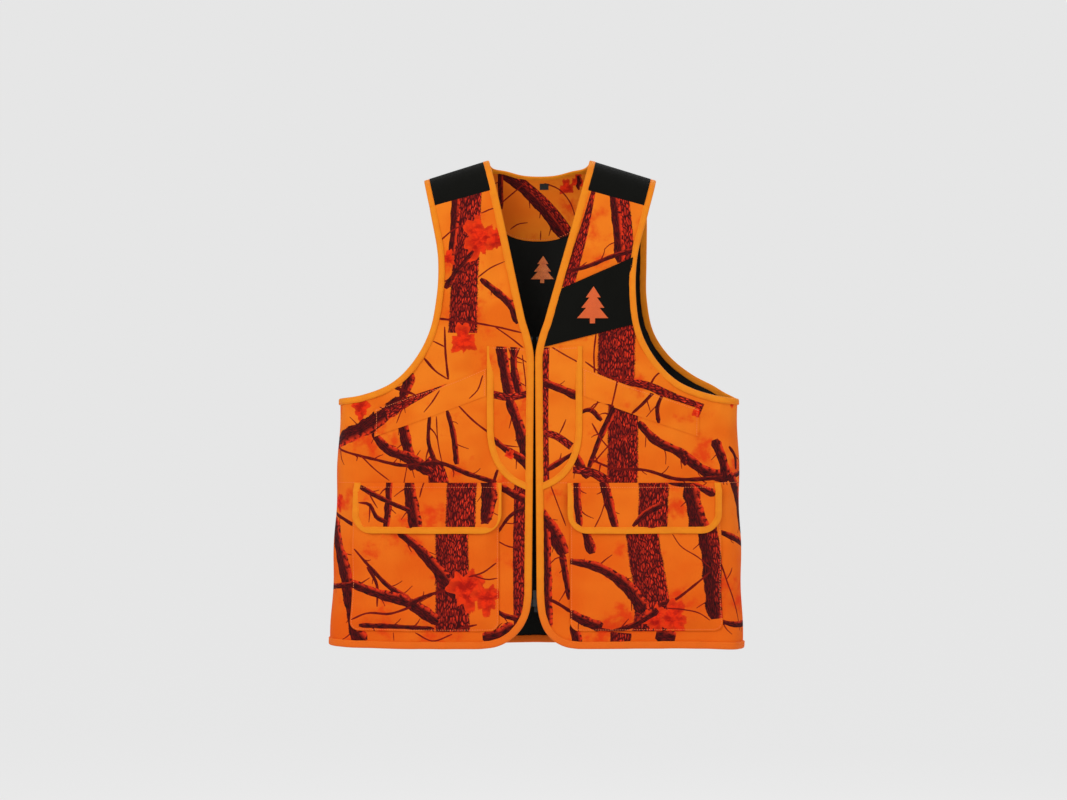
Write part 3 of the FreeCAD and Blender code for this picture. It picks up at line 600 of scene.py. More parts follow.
def add_stitches(maker, points, outward, sink=0.0):
    """A row of thread stitches along a line of points: each a short tube, pointed at its ends."""
    line = even(np.concatenate([points, outward], 1), STITCH_PITCH)
    normals = unit(line[:, 3:])
    tangent = unit(np.gradient(line[:, :3], axis=0))
    centres = line[:, :3] + normals * (STITCH_RADIUS * 0.55 - sink)
    ring = circle_of(np.cross(normals, tangent), normals, STITCH_RADIUS, STITCH_SPOKES)
    count = len(centres)
    rows = []
    for along, dip in ((-0.5, 0.9), (-0.32, 0.0), (0.32, 0.0), (0.5, 0.9)):
        base = centres + tangent * (along * STITCH_LENGTH) - normals * (dip * STITCH_RADIUS)
        rows.append(base[:, None] if dip else base[:, None] + ring)
    block = np.concatenate(rows, 1)
    size = block.shape[1]
    faces = []
    for spoke in range(STITCH_SPOKES):
        after = (spoke + 1) % STITCH_SPOKES
        near, near_after = 1 + spoke, 1 + after
        far, far_after = near + STITCH_SPOKES, near_after + STITCH_SPOKES
        faces += [(0, near_after, near), (near, near_after, far_after), (near, far_after, far),
                  (far, far_after, size - 1)]
    faces = (np.arange(count)[:, None, None] * size + np.array(faces)[None]).reshape(-1, 3)
    paints = np.zeros((len(faces), 3, 3))
    paints[:, :, 2] = THREAD
    along = np.repeat(np.arange(count) * STITCH_PITCH, size)
    flats = np.stack([along, np.zeros_like(along), block.reshape(-1, 3)[:, 2]], 1)
    maker.add(block.reshape(-1, 3), flats, faces, paints)


def stitch_line(maker, place, line, out, sink=0.0):
    """Stitches along a flat line laid on the form."""
    add_stitches(maker, *frames_on(place, line, out), sink)


# ---------------------------------------------------------------- the woodland print
#
# Each row is a kind, its half width at its start and at its end, and the points of its
# middle line. A leaf has one point. Later rows lie over earlier ones.

PRINT = {
    "front_panel_right": [
        (BARK, 19, 23, [(-102, 685), (-105, 560), (-106, 462)]),
        (LIMB, 8, 5, [(-122, 685), (-124, 610), (-127, 570)]),
        (LEAF, 34, 0, [(-86, 600)]),
        (LEAF, 19, 0, [(-62, 598)]),
        (LEAF, 26, 0, [(-105, 452)]),
        (LEAF, 13, 0, [(-131, 572)]),
        (LIMB, 3, 5, [(-94, 582), (-114, 556), (-134, 527)]),
        (LIMB, 4.5, 6.5, [(-82, 541), (-60, 524), (-36, 502), (-24, 476)]),
        (LIMB, 1.2, 0.8, [(-86, 543), (-66, 558), (-46, 567)]),
        (LIMB, 1.2, 1.0, [(-144, 597), (-126, 612), (-108, 621)]),
        (LIMB, 1.8, 1.2, [(-143, 483), (-90, 477), (-52, 470), (-18, 462)]),
        (LIMB, 1.0, 1.2, [(-60, 472), (-34, 454), (-14, 438)]),
        (LIMB, 1.4, 2.0, [(-133, 471), (-131, 430), (-127, 394)]),
        (LIMB, 1.4, 0.9, [(-150, 450), (-131, 441)]),
        (LIMB, 2.2, 1.0, [(-164, 425), (-146, 406), (-127, 394)]),
        (LIMB, 1.2, 0.8, [(-84, 637), (-64, 644), (-50, 640)]),
        (LIMB, 13, 5, [(-186, 404), (-190, 384), (-199, 366)]),
        (LIMB, 3, 1.5, [(-213, 384), (-196, 378), (-178, 372)]),
        (LEAF, 20, 0, [(-264, 352)]),
        (LIMB, 15, 11, [(-196, 362), (-244, 330), (-306, 296)]),
        (LIMB, 8, 9, [(-212, 346), (-198, 330), (-190, 300), (-178, 262)]),
        (LIMB, 6, 10, [(-244, 316), (-222, 294), (-180, 276), (-154, 258)]),
        (BARK, 12, 17, [(-160, 276), (-146, 262), (-140, 236)]),
        (LIMB, 2.6, 3.5, [(-155, 343), (-156, 300), (-144, 268)]),
        (LIMB, 1.1, 0.8, [(-145, 340), (-142, 300), (-136, 272)]),
        (LIMB, 3.4, 5.0, [(-129, 349), (-120, 318), (-114, 270)]),
        (LIMB, 1.2, 1.7, [(-112, 356), (-90, 334), (-64, 314)]),
        (LIMB, 1.4, 4.0, [(-300, 296), (-244, 278), (-190, 268), (-140, 272), (-97, 256),
                          (-56, 243)]),
        (LIMB, 1.2, 0.9, [(-262, 284), (-238, 262), (-216, 246)]),
        (LIMB, 0.9, 0.9, [(-188, 270), (-192, 250), (-196, 226)]),
        (LIMB, 3, 2, [(-54, 262), (-58, 250), (-60, 238)]),
        (LIMB, 13, 10, [(-300, 190), (-286, 130), (-272, 70), (-256, 8)]),
        (LIMB, 2.4, 3, [(-300, 198), (-284, 188), (-266, 180)]),
        (LIMB, 5, 3, [(-303, 88), (-284, 92), (-262, 96)]),
        (LEAF, 16, 0, [(-296, 214)]),
        (LIMB, 15, 15, [(-262, 24), (-250, 8)]),
        (BARK, 9, 9, [(-21, 240), (-23, 140), (-22, 34)]),
        (LIMB, 5, 7, [(-50, 238), (-30, 226), (-6, 216)]),
        (LIMB, 2.2, 3.2, [(-54, 170), (-34, 196), (-6, 210)]),
        (LIMB, 1.2, 1.0, [(-54, 158), (-38, 150), (-24, 148)]),
        (LIMB, 2, 6, [(-60, 60), (-46, 50), (-24, 44), (-12, 40)]),
        (LIMB, 9, 12, [(-76, 18), (-56, 20), (-30, 34)]),
        (LIMB, 1.2, 1.0, [(-174, 24), (-150, 12), (-120, 22)]),
        (LIMB, 0.9, 0.7, [(-206, 24), (-205, 12)]),
    ],
    "chest_patch_right": [
        (LIMB, 8, 9, [(-50, 446), (-44, 410), (-36, 370)]),
        (LIMB, 5, 6, [(-30, 446), (-30, 410), (-20, 366)]),
        (LIMB, 1.2, 1.4, [(-38, 440), (-30, 424), (-22, 440)]),
        (LIMB, 1.0, 0.8, [(-18, 430), (-14, 400), (-12, 378)]),
        (BARK, 6, 5, [(-64, 373), (-38, 368), (-6, 374)]),
        (LIMB, 7, 10, [(-38, 366), (-24, 330), (-10, 278)]),
        (LIMB, 4, 7, [(-64, 310), (-42, 292), (-22, 280), (-6, 262)]),
        (LEAF, 9, 0, [(-36, 284)]),
    ],
    "hand_pocket_welt_right": [
        (LIMB, 9, 15, [(-150, 386), (-196, 362), (-244, 330), (-306, 296)]),
        (BARK, 5, 8, [(-120, 398), (-170, 372), (-222, 344)]),
        (LIMB, 1.0, 1.2, [(-96, 366), (-84, 378), (-76, 400)]),
        (LIMB, 1.0, 0.8, [(-182, 366), (-196, 352), (-206, 330)]),
        (LIMB, 1.3, 0.8, [(-140, 378), (-152, 360), (-164, 346)]),
    ],
    "cargo_pocket_right": [
        (BARK, 25, 27, [(-121, 240), (-120, 120), (-119, 20)]),
        (LIMB, 5, 12, [(-200, 172), (-168, 146), (-138, 112), (-112, 78)]),
        (LIMB, 1.4, 5, [(-266, 146), (-240, 118), (-214, 92), (-182, 72)]),
        (LIMB, 2.8, 1.5, [(-246, 120), (-232, 96), (-230, 62)]),
        (LIMB, 6, 10, [(-278, 98), (-232, 82), (-184, 68), (-140, 40)]),
        (LIMB, 4, 1.2, [(-184, 66), (-158, 78), (-124, 88)]),
        (LIMB, 1.3, 2.0, [(-268, 42), (-246, 52), (-210, 52), (-180, 62)]),
        (LIMB, 4, 3, [(-256, 34), (-200, 33), (-146, 30)]),
        (LEAF, 34, 0, [(-98, 88)]),
        (LEAF, 27, 0, [(-70, 74)]),
        (LIMB, 1.4, 1.2, [(-96, 106), (-76, 112), (-56, 126)]),
        (LIMB, 1.2, 1.0, [(-90, 108), (-66, 102), (-54, 104)]),
        (LIMB, 1.2, 1.6, [(-150, 30), (-136, 14), (-110, 30), (-84, 36)]),
    ],
    "flap_right": [
        (BARK, 24, 23, [(-106, 256), (-108, 160)]),
        (LIMB, 5.5, 5.0, [(-216, 256), (-216, 206), (-219, 172)]),
        (LIMB, 8, 12, [(-187, 256), (-180, 214), (-172, 172)]),
        (LIMB, 4, 3.2, [(-262, 238), (-238, 226), (-208, 212), (-180, 202)]),
        (LIMB, 1.5, 4.2, [(-262, 214), (-246, 212), (-232, 192), (-218, 186)]),
        (LIMB, 1.2, 0.9, [(-246, 228), (-240, 218), (-232, 206)]),
        (LIMB, 1.2, 1.0, [(-168, 222), (-164, 240), (-160, 252)]),
        (LIMB, 14, 9, [(-68, 256), (-66, 222), (-72, 184)]),
        (LIMB, 2.4, 3.0, [(-78, 184), (-70, 188), (-62, 192)]),
    ],
    "front_panel_left": [
        (BARK, 3, 12, [(80, 672), (64, 600), (44, 528)]),
        (BARK, 15, 14, [(116, 672), (125, 610), (131, 566)]),
        (LIMB, 7, 8, [(108, 672), (116, 616), (122, 566)]),
        (LIMB, 3, 3.6, [(46, 552), (76, 560), (110, 574), (144, 584)]),
        (BARK, 30, 29, [(121, 486), (119, 384)]),
        (LIMB, 1.2, 1.4, [(90, 462), (87, 430), (88, 402)]),
        (LIMB, 1.3, 1.1, [(74, 420), (104, 400), (140, 390)]),
        (LIMB, 1.2, 1.2, [(124, 440), (130, 416), (126, 386)]),
        (BARK, 5, 9, [(130, 392), (168, 384), (206, 366), (246, 350)]),
        (LIMB, 1.6, 1.0, [(168, 384), (178, 400), (190, 408)]),
        (BARK, 24, 24, [(130, 372), (129, 300), (128, 236)]),
        (LIMB, 5.5, 3, [(120, 358), (98, 314), (78, 262)]),
        (LIMB, 3, 4, [(64, 344), (80, 350), (98, 334)]),
        (LIMB, 1.2, 1.0, [(80, 346), (92, 360), (94, 372)]),
        (LIMB, 1.3, 1.0, [(84, 330), (98, 306), (112, 290)]),
        (LIMB, 1.2, 1.0, [(86, 272), (112, 300), (142, 316)]),
        (LIMB, 6, 9, [(152, 332), (176, 306), (214, 286), (252, 258), (282, 250)]),
        (LIMB, 6, 3, [(216, 284), (220, 268)]),
        (LIMB, 1.4, 4, [(80, 278), (116, 264), (158, 262), (210, 248), (262, 250), (306, 258)]),
        (LIMB, 8, 7, [(264, 306), (272, 282), (278, 252)]),
        (LIMB, 3, 4, [(284, 296), (292, 280), (292, 262)]),
        (LIMB, 8, 13, [(282, 256), (298, 218), (312, 168)]),
        (LIMB, 7, 6, [(56, 288), (66, 270), (78, 250)]),
        (BARK, 5, 8, [(56, 262), (84, 258), (108, 244)]),
        (LIMB, 10, 12, [(2, 206), (22, 180), (44, 138)]),
        (LIMB, 6, 3, [(40, 140), (46, 104), (50, 72)]),
        (LIMB, 7, 8, [(16, 176), (18, 110), (19, 30)]),
        (LIMB, 2, 3, [(6, 78), (28, 70), (54, 54)]),
        (LIMB, 1.0, 0.9, [(24, 238), (36, 206), (46, 180)]),
        (LIMB, 0.9, 1.2, [(22, 124), (34, 134), (46, 130)]),
        (LIMB, 4, 6, [(266, 172), (288, 162), (312, 150)]),
        (LIMB, 1.4, 0.9, [(266, 132), (280, 96), (290, 62), (294, 26)]),
        (LIMB, 0.9, 0.8, [(278, 100), (284, 110), (286, 118)]),
        (LIMB, 3, 5, [(252, 46), (282, 36), (312, 36)]),
        (LIMB, 7, 9, [(56, 38), (64, 8)]),
        (BARK, 17, 15, [(126, 24), (124, 4)]),
        (LIMB, 13, 13, [(176, 22), (204, 16)]),
        (LEAF, 18, 0, [(292, 370)]),
    ],
    "chest_patch_left": [
        (BARK, 7, 6, [(15, 446), (14, 340), (16, 240)]),
        (LIMB, 6, 6.5, [(12, 390), (34, 382), (66, 368)]),
        (LIMB, 1.2, 1.0, [(24, 442), (44, 430), (66, 418)]),
        (BARK, 5, 6, [(6, 318), (30, 312), (54, 296)]),
        (LIMB, 5, 2.5, [(18, 262), (34, 272), (60, 288)]),
        (LIMB, 1.1, 0.9, [(36, 314), (42, 326), (46, 336)]),
    ],
    "hand_pocket_welt_left": [
        (LIMB, 2.4, 2.8, [(62, 368), (84, 360), (116, 354)]),
        (LIMB, 1.4, 1.2, [(122, 398), (116, 370), (110, 344)]),
        (LIMB, 3.0, 2.0, [(176, 378), (158, 358), (142, 344)]),
        (LIMB, 2.6, 3.2, [(188, 374), (180, 354), (182, 330)]),
        (BARK, 6, 8, [(186, 384), (214, 374), (246, 356)]),
        (LIMB, 1.2, 0.9, [(236, 352), (246, 332), (250, 312)]),
        (LEAF, 12, 0, [(240, 346)]),
    ],
    "cargo_pocket_left": [
        (BARK, 25, 27, [(152, 240), (158, 150), (170, 64), (166, 20)]),
        (LIMB, 6, 8, [(70, 200), (76, 168), (84, 140)]),
        (LIMB, 4.5, 12, [(44, 130), (92, 120), (132, 94), (160, 56)]),
        (LIMB, 9, 15, [(236, 240), (246, 170), (256, 100), (262, 44)]),
        (BARK, 8, 8, [(246, 236), (260, 150), (268, 70)]),
        (LIMB, 2.8, 1.2, [(178, 64), (202, 72), (222, 86), (252, 112)]),
        (LEAF, 30, 0, [(200, 46)]),
        (LEAF, 22, 0, [(174, 44)]),
        (LIMB, 2.4, 6, [(106, 24), (140, 34), (178, 58)]),
        (LIMB, 6, 10, [(50, 54), (68, 44), (98, 32)]),
        (LIMB, 2.2, 1.4, [(92, 30), (120, 26), (150, 24)]),
        (LIMB, 0.9, 0.8, [(200, 168), (210, 152), (236, 134), (254, 118)]),
        (LIMB, 1.1, 0.9, [(190, 60), (214, 58), (238, 52), (252, 42)]),
    ],
    "flap_left": [
        (BARK, 24, 23, [(174, 256), (170, 160)]),
        (LIMB, 6, 5, [(62, 256), (62, 220), (66, 178)]),
        (LIMB, 8, 6, [(98, 256), (108, 214), (118, 176)]),
        (LIMB, 3.5, 5, [(142, 180), (162, 200), (186, 212)]),
        (LIMB, 5, 6, [(196, 244), (230, 240), (262, 226)]),
        (LIMB, 12, 15, [(224, 240), (232, 208), (240, 168)]),
        (LIMB, 1.0, 0.8, [(86, 176), (96, 196), (104, 222)]),
    ],
    "neck_facing": [
        (LIMB, 8, 9, [(-54, 706), (-20, 678), (14, 642), (40, 608)]),
        (BARK, 5, 6, [(-42, 706), (-10, 680), (24, 646), (50, 612)]),
        (LIMB, 5, 3, [(-58, 712), (-58, 680), (-56, 650)]),
        (LIMB, 1.2, 0.9, [(-58, 658), (-40, 674), (-22, 690)]),
        (LEAF, 15, 0, [(41, 684)]),
        (LEAF, 13, 0, [(58, 694)]),
        (LIMB, 4, 3, [(58, 702), (61, 693), (58, 685), (60, 680)]),
        (LIMB, 1.1, 0.9, [(8, 690), (28, 682), (46, 662), (58, 630)]),
        (LIMB, 1.0, 0.8, [(-42, 620), (-30, 628), (-16, 630)]),
        (LIMB, 1.0, 0.8, [(4, 604), (4, 618)]),
    ],
}


def branch_of(kind, spine, widths, turn=0.0):
    """A branch or leaf: its middle line, its half width at each point and its own phase."""
    return {"kind": kind, "spine": spine, "widths": np.asarray(widths, float), "turn": turn}


def as_branch(row, turn):
    """A row of the print as a branch, knotty and, on a limb, with rounded ends."""
    kind, start, end, points = row
    points = arc_of(points)
    if kind == LEAF:
        return branch_of(kind, points, [start], turn)
    spine = curve(points, 6.0)
    widths = np.linspace(start, end, len(spine))
    steps = np.arange(len(spine))
    knots = np.sin(1.7 * steps + turn) + np.sin(0.73 * steps + 2 * turn)
    widths = widths * (1 + (0.012 if kind == BARK else 0.075) * knots)
    if kind == LIMB:
        run = run_of(spine)
        from_end = np.minimum(run, run[-1] - run) + 0.3 * widths
        widths = widths * np.sqrt(np.clip(from_end / widths, 0.3, 1))
    return branch_of(kind, spine, widths, turn)


def side_twigs(branches, seed):
    """Small twigs that leave the thicker limbs, to either side."""
    draw = random.Random(seed)
    twigs = []
    for branch in branches:
        spine = branch["spine"]
        if branch["kind"] != LIMB or not 2.2 < branch["widths"].mean() < 14:
            continue
        for index in range(3, len(spine) - 3, 5):
            ahead = spine[index + 1] - spine[index]
            heading = math.atan2(ahead[1], ahead[0])
            hand = draw.choice((-1, 1))
            turn = heading + hand * draw.uniform(0.5, 1.2)
            length = branch["widths"][index] + draw.uniform(7, 24)
            way = np.array([math.cos(turn), math.sin(turn)])
            bow = np.array([-way[1], way[0]]) * draw.uniform(-3, 3)
            line = curve([spine[index], spine[index] + way * length * 0.55 + bow,
                          spine[index] + way * length], 5.0)
            widths = np.linspace(draw.uniform(0.9, 1.7), 0.5, len(line))
            twigs.append(branch_of(LIMB, line, widths))
    return twigs


def printed(name):
    """A piece's part of the print."""
    branches = [as_branch(row, 0.7 * index) for index, row in enumerate(PRINT[name])]
    return side_twigs(branches, len(name)) + branches


# cloth to each limb and to each leaf of a made-up stretch
AREA_A_LIMB = 4200
AREA_A_LEAF = 52000


def made_up_trunks(low, high, draw):
    """Rows for leaning trunks and upright limbs, from left to right."""
    rows = []
    foot = low[1] - 30
    top = high[1] + 30
    x = low[0] - 20
    while x < high[0]:
        x += draw.uniform(44, 78)
        lean = draw.uniform(-30, 30)
        kind, thinnest, thickest = (BARK, 14, 27) if draw.random() < 0.6 else (LIMB, 5, 11)
        half = draw.uniform(thinnest, thickest)
        middle = (x + lean * draw.uniform(0.2, 0.9), draw.uniform(foot + 200, top - 200))
        rows.append((kind, half * 0.8, half, [(x + lean, top), middle, (x, foot)]))
    return rows


def made_up_limb(low, high, draw):
    """Rows for a wandering limb and, on some, a twig."""
    x = draw.uniform(low[0], high[0])
    z = draw.uniform(low[1], high[1])
    heading = draw.choice((0, math.pi)) + draw.uniform(-1.0, 1.0)
    half = draw.choice((1.0, 1.3, 1.8, 2.6, 4.5, 7.5))
    points = [(x, z)]
    for _ in range(draw.randint(3, 5)):
        heading += draw.uniform(-0.55, 0.55)
        reach = draw.uniform(18, 30) + half * 2.5
        x += math.cos(heading) * reach
        z += math.sin(heading) * reach
        points.append((x, z))
    rows = [(LIMB, half, half * draw.uniform(0.35, 0.8), points)]
    if half > 2 and draw.random() < 0.7:
        x, z = points[1]
        twig = [(x, z), (x + draw.uniform(-18, 18), z + draw.uniform(10, 26)),
                (x + draw.uniform(-30, 30), z + draw.uniform(28, 50))]
        rows.append((LIMB, 1.4, 0.8, twig))
    return rows


def woodland(low, high, seed):
    """A made-up stretch of the print, for cloth that has no picture of its own."""
    draw = random.Random(seed)
    area = (high[0] - low[0]) * (high[1] - low[1])
    rows = made_up_trunks(low, high, draw)
    for _ in range(int(area / AREA_A_LIMB)):
        rows += made_up_limb(low, high, draw)
    for _ in range(int(area / AREA_A_LEAF)):
        leaf = (draw.uniform(low[0], high[0]), draw.uniform(low[1], high[1]))
        rows.append((LEAF, draw.uniform(16, 32), 0, [leaf]))
    branches = []
    for index, (kind, start, end, points) in enumerate(rows):
        spine = np.array(points, float)
        widths = [start]
        if kind != LEAF:
            spine = curve(points, 6.0)
            knots = 1 + 0.10 * np.sin(np.arange(len(spine)) * 1.7 + index)
            widths = np.linspace(start, end, len(spine)) * knots
        branches.append(branch_of(kind, spine, widths, 0.9 * index))
    return branches


# ---------------------------------------------------------------- materials

def linear(red, green, blue):
    """A display colour, 0 to 255, as light."""
    def one(value):
        value /= 255
        return value / 12.92 if value <= 0.04045 else ((value + 0.055) / 1.055) ** 2.4
    return (one(red), one(green), one(blue), 1.0)


class Shader:
    """A material's nodes, written as short expressions."""

    def __init__(self, name, roughness, specular=0.5, sheen=0.0):
        self.material = bpy.data.materials.new(name)
        self.material.use_nodes = True
        self.tree = self.material.node_tree
        self.surface = self.tree.nodes["Principled BSDF"]
        self.surface.inputs["Roughness"].default_value = roughness
        self.surface.inputs["Sheen Weight"].default_value = sheen
        self.surface.inputs["Specular IOR Level"].default_value = specular

    def put(self, socket, value):
        """Link a node's output to a socket, or set the socket to a value."""
        if isinstance(value, bpy.types.NodeSocket):
            self.tree.links.new(value, socket)
        else:
            socket.default_value = value

    def attribute(self, name):
        node = self.tree.nodes.new("ShaderNodeAttribute")
        node.attribute_name = name
        return node.outputs["Vector"]

    def parts(self, vector):
        node = self.tree.nodes.new("ShaderNodeSeparateXYZ")
        self.put(node.inputs[0], vector)
        return node.outputs

    def vector(self, x, y, z=0.0):
        node = self.tree.nodes.new("ShaderNodeCombineXYZ")
        for socket, value in zip(node.inputs, (x, y, z)):
            self.put(socket, value)
        return node.outputs[0]

    def math(self, operation, first, second=0.0, third=0.0):
        node = self.tree.nodes.new("ShaderNodeMath")
        node.operation = operation
        for socket, value in zip(node.inputs, (first, second, third)):
            self.put(socket, value)
        return node.outputs[0]

    def times(self, first, second):
        return self.math("MULTIPLY", first, second)

    def wave(self, value, pitch):
        """A sine wave from -1 to 1 with a pitch."""
        return self.math("SINE", self.times(value, 2 * math.pi / pitch))

    def stretch(self, vector, factors):
        node = self.tree.nodes.new("ShaderNodeVectorMath")
        node.operation = "MULTIPLY"
        self.put(node.inputs[0], vector)
        node.inputs[1].default_value = factors
        return node.outputs[0]

    def noise(self, vector, scale, detail=3.0, roughness=0.55):
        node = self.tree.nodes.new("ShaderNodeTexNoise")
        self.put(node.inputs["Vector"], vector)
        node.inputs["Scale"].default_value = scale
        node.inputs["Detail"].default_value = detail
        node.inputs["Roughness"].default_value = roughness
        return node.outputs["Fac"]

    def cells(self, vector, scale, feature="DISTANCE_TO_EDGE"):
        node = self.tree.nodes.new("ShaderNodeTexVoronoi")
        node.feature = feature
        self.put(node.inputs["Vector"], vector)
        node.inputs["Scale"].default_value = scale
        return node.outputs["Distance"]

    def ramp(self, value, low, high, to_low=0.0, to_high=1.0):
        """A smooth rise or fall from one number to another, between a low and a high value."""
        node = self.tree.nodes.new("ShaderNodeMapRange")
        node.interpolation_type = "SMOOTHSTEP"
        for socket, number in zip(node.inputs, (value, low, high, to_low, to_high)):
            self.put(socket, number)
        return node.outputs[0]

    def mix(self, factor, first, second):
        node = self.tree.nodes.new("ShaderNodeMix")
        node.data_type = "RGBA"
        self.put(node.inputs[0], factor)
        self.put(node.inputs[6], first)
        self.put(node.inputs[7], second)
        return node.outputs[2]

    def thread(self, colour, thread):
        """A cloth's colour, with the colour of its stitches on them."""
        kind = self.parts(self.attribute("paint"))[2]
        return self.mix(self.ramp(kind, THREAD - 0.6, THREAD - 0.4), colour, linear(*thread))

    def finish(self, colour, height, distance):
        """The material with its colour and with a relief of a height from 0 to 1."""
        bump = self.tree.nodes.new("ShaderNodeBump")
        bump.inputs["Strength"].default_value = 1.0
        bump.inputs["Distance"].default_value = distance
        self.put(bump.inputs["Height"], height)
        self.put(self.surface.inputs["Base Color"], colour)
        self.put(self.surface.inputs["Normal"], bump.outputs[0])
        return self.material


def weave(shader, flat, pitch):
    """The fine over and under of a cloth, from 0 to 1."""
    x, z, _ = shader.parts(flat)
    crossing = shader.times(shader.wave(x, pitch), shader.wave(z, pitch))
    return shader.math("MULTIPLY_ADD", crossing, 0.5, 0.5)


def ground_colour(shader, flat):
    """Clear orange, deeper towards the hem, with faint far-off shapes."""
    drift = shader.ramp(shader.noise(flat, 9.0, 2.0), 0.36, 0.66)
    ground = shader.mix(drift, linear(226, 118, 24), linear(217, 97, 14))
    deep = shader.ramp(shader.parts(flat)[2], 0.02, 0.45, 1.0, 0.0)
    ground = shader.mix(shader.times(deep, 0.5), ground, linear(214, 70, 6))
    far = shader.noise(shader.stretch(flat, (1.0, 0.5, 1.0)), 17.0, 5.0, 0.62)
    return shader.mix(shader.ramp(far, 0.53, 0.70, 0.0, 0.85), ground, linear(210, 48, 8))


def bark_colour(shader, across, along, reach, grain):
    """Upright flakes, parted by dark cracks and darker along one side."""
    wander = shader.noise(grain, 0.06, 2.0)
    flakes = shader.vector(shader.math("MULTIPLY_ADD", wander, 1.6, shader.times(reach, 0.36)),
                           shader.times(along, 0.105))
    crack = shader.cells(flakes, 1.0)
    pick = shader.noise(flakes, 1.3)
    flake = shader.mix(shader.ramp(pick, 0.38, 0.62), linear(140, 20, 14), linear(228, 54, 26))
    bark = shader.mix(shader.ramp(crack, 0.03, 0.26), linear(58, 8, 10), flake)
    shade = shader.ramp(across, -1.0, 0.4, 0.6, 0.0)
    blotch = shader.ramp(shader.noise(grain, 0.05), 0.48, 0.70, 0.0, 0.7)
    return shader.mix(shader.math("MAXIMUM", shade, blotch), bark, linear(66, 9, 12))


def limb_colour(shader, across, along, reach, grain, half):
    """Dark, streaked along, with a broken light along one edge of the thicker limbs."""
    streak = shader.noise(shader.vector(shader.times(reach, 1.1), shader.times(along, 0.12)), 1.0)
    limb = shader.mix(shader.ramp(streak, 0.40, 0.70), linear(34, 8, 10), linear(108, 16, 14))
    wide = shader.ramp(half, 2.0, 6.0)
    broken = shader.ramp(shader.noise(grain, 0.14, 4.0), 0.38, 0.56)
    lit = shader.times(shader.times(shader.ramp(across, 0.1, 0.8), wide), broken)
    limb = shader.mix(shader.times(lit, 0.95), limb, linear(214, 50, 18))
    thin = shader.ramp(half, 1.0, 3.4, 0.6, 0.0)
    return shader.mix(thin, limb, linear(140, 22, 10))


def leaf_colour(shader, flat, across, along):
    """Bright red, darker along its veins."""
    vein = shader.math("ABSOLUTE", shader.math("SINE", shader.times(along, 0.25)))
    vein = shader.ramp(vein, 0.0, 0.35, 0.65, 0.0)
    curl = shader.ramp(shader.noise(flat, 70.0, 4.0), 0.38, 0.62)
    leaf = shader.mix(curl, linear(226, 44, 8), linear(160, 18, 6))
    leaf = shader.mix(vein, leaf, linear(190, 28, 8))
    return shader.mix(shader.ramp(across, 0.35, 0.95, 0.0, 0.55), leaf, linear(216, 58, 12))


def print_material():
    """The woodland print on its cloth, and the cloth's stitches."""
    shader = Shader("blaze_print", roughness=0.85, specular=0.10)
    flat = shader.attribute("flat")
    across, signed, coded = shader.parts(shader.attribute("paint"))
    along = shader.math("ABSOLUTE", signed)
    crossed = shader.ramp(signed, -0.6, -0.4, 1.0, 0.0)
    coded = shader.math("ADD", coded, 0.002)
    kind = shader.math("FLOOR", coded)
    half = shader.times(shader.math("FRACT", coded), 100.0)
    reach = shader.times(across, half)
    grain = shader.vector(reach, along)

    bark = bark_colour(shader, across, along, reach, grain)
    limb = limb_colour(shader, across, along, reach, grain, half)
    leaf = leaf_colour(shader, flat, across, along)
    ink = shader.mix(shader.math("COMPARE", kind, float(LIMB), 0.1), bark, limb)
    ink = shader.mix(shader.math("COMPARE", kind, float(LEAF), 0.1), ink, leaf)

    # edges are frayed, but not where one branch passes over another
    fray = shader.noise(flat, 380.0, 4.0, 0.7)
    loose = shader.ramp(half, 1.0, 14.0, 0.16, 0.30)
    edge = shader.math("ADD", shader.math("ABSOLUTE", across), shader.times(fray, loose))
    inked = shader.math("MAXIMUM", shader.ramp(edge, 1.03, 1.12, 1.0, 0.0), crossed)
    inked = shader.times(inked, shader.ramp(kind, 0.4, 0.6))
    colour = shader.mix(inked, ground_colour(shader, flat), ink)
    thread = shader.math("COMPARE", kind, float(THREAD), 0.1)
    colour = shader.mix(thread, colour, linear(236, 128, 76))
    nap = shader.math("ADD", weave(shader, flat, 0.0009), shader.noise(flat, 1600.0))
    return shader.finish(colour, nap, 0.00012)


def plain_material(name, dark, light, thread, pitch, roughness, distance, sheen=0.0):
    """Plain cloth with a visible weave, and its stitches."""
    shader = Shader(name, roughness=roughness, specular=0.12, sheen=sheen)
    flat = shader.attribute("flat")
    tone = shader.noise(flat, 26.0, 4.0)
    over = weave(shader, flat, pitch)
    share = shader.math("MULTIPLY_ADD", over, 0.4, shader.times(tone, 0.6))
    colour = shader.thread(shader.mix(share, linear(*dark), linear(*light)), thread)
    height = shader.math("ADD", over, shader.times(shader.noise(flat, 900.0), 0.6))
    return shader.finish(colour, height, distance)


def binding_material():
    """Ribbed folded tape: fine ribs lie across it."""
    shader = Shader("orange_binding", roughness=0.7, specular=0.2)
    flat = shader.attribute("flat")
    along, _, height = shader.parts(flat)
    rib = shader.math("MULTIPLY_ADD", shader.wave(along, 0.0011), 0.5, 0.5)
    high = shader.ramp(height, 0.0, 0.12)
    colour = shader.mix(high, linear(222, 96, 8), linear(224, 130, 8))
    dim = shader.times(shader.ramp(shader.noise(flat, 60.0), 0.35, 0.7), 0.25)
    colour = shader.mix(dim, colour, linear(212, 98, 6))
    # painted shade: the tape is darkened in the grooves between its ribs
    rib_groove_shade = shader.times(shader.math("SUBTRACT", 1.0, rib), 0.12)
    colour = shader.mix(rib_groove_shade, colour, linear(204, 84, 4))
    colour = shader.thread(colour, (236, 116, 14))
    rough = shader.math("ADD", rib, shader.times(shader.noise(flat, 1500.0), 0.5))
    return shader.finish(colour, rough, 0.00016)


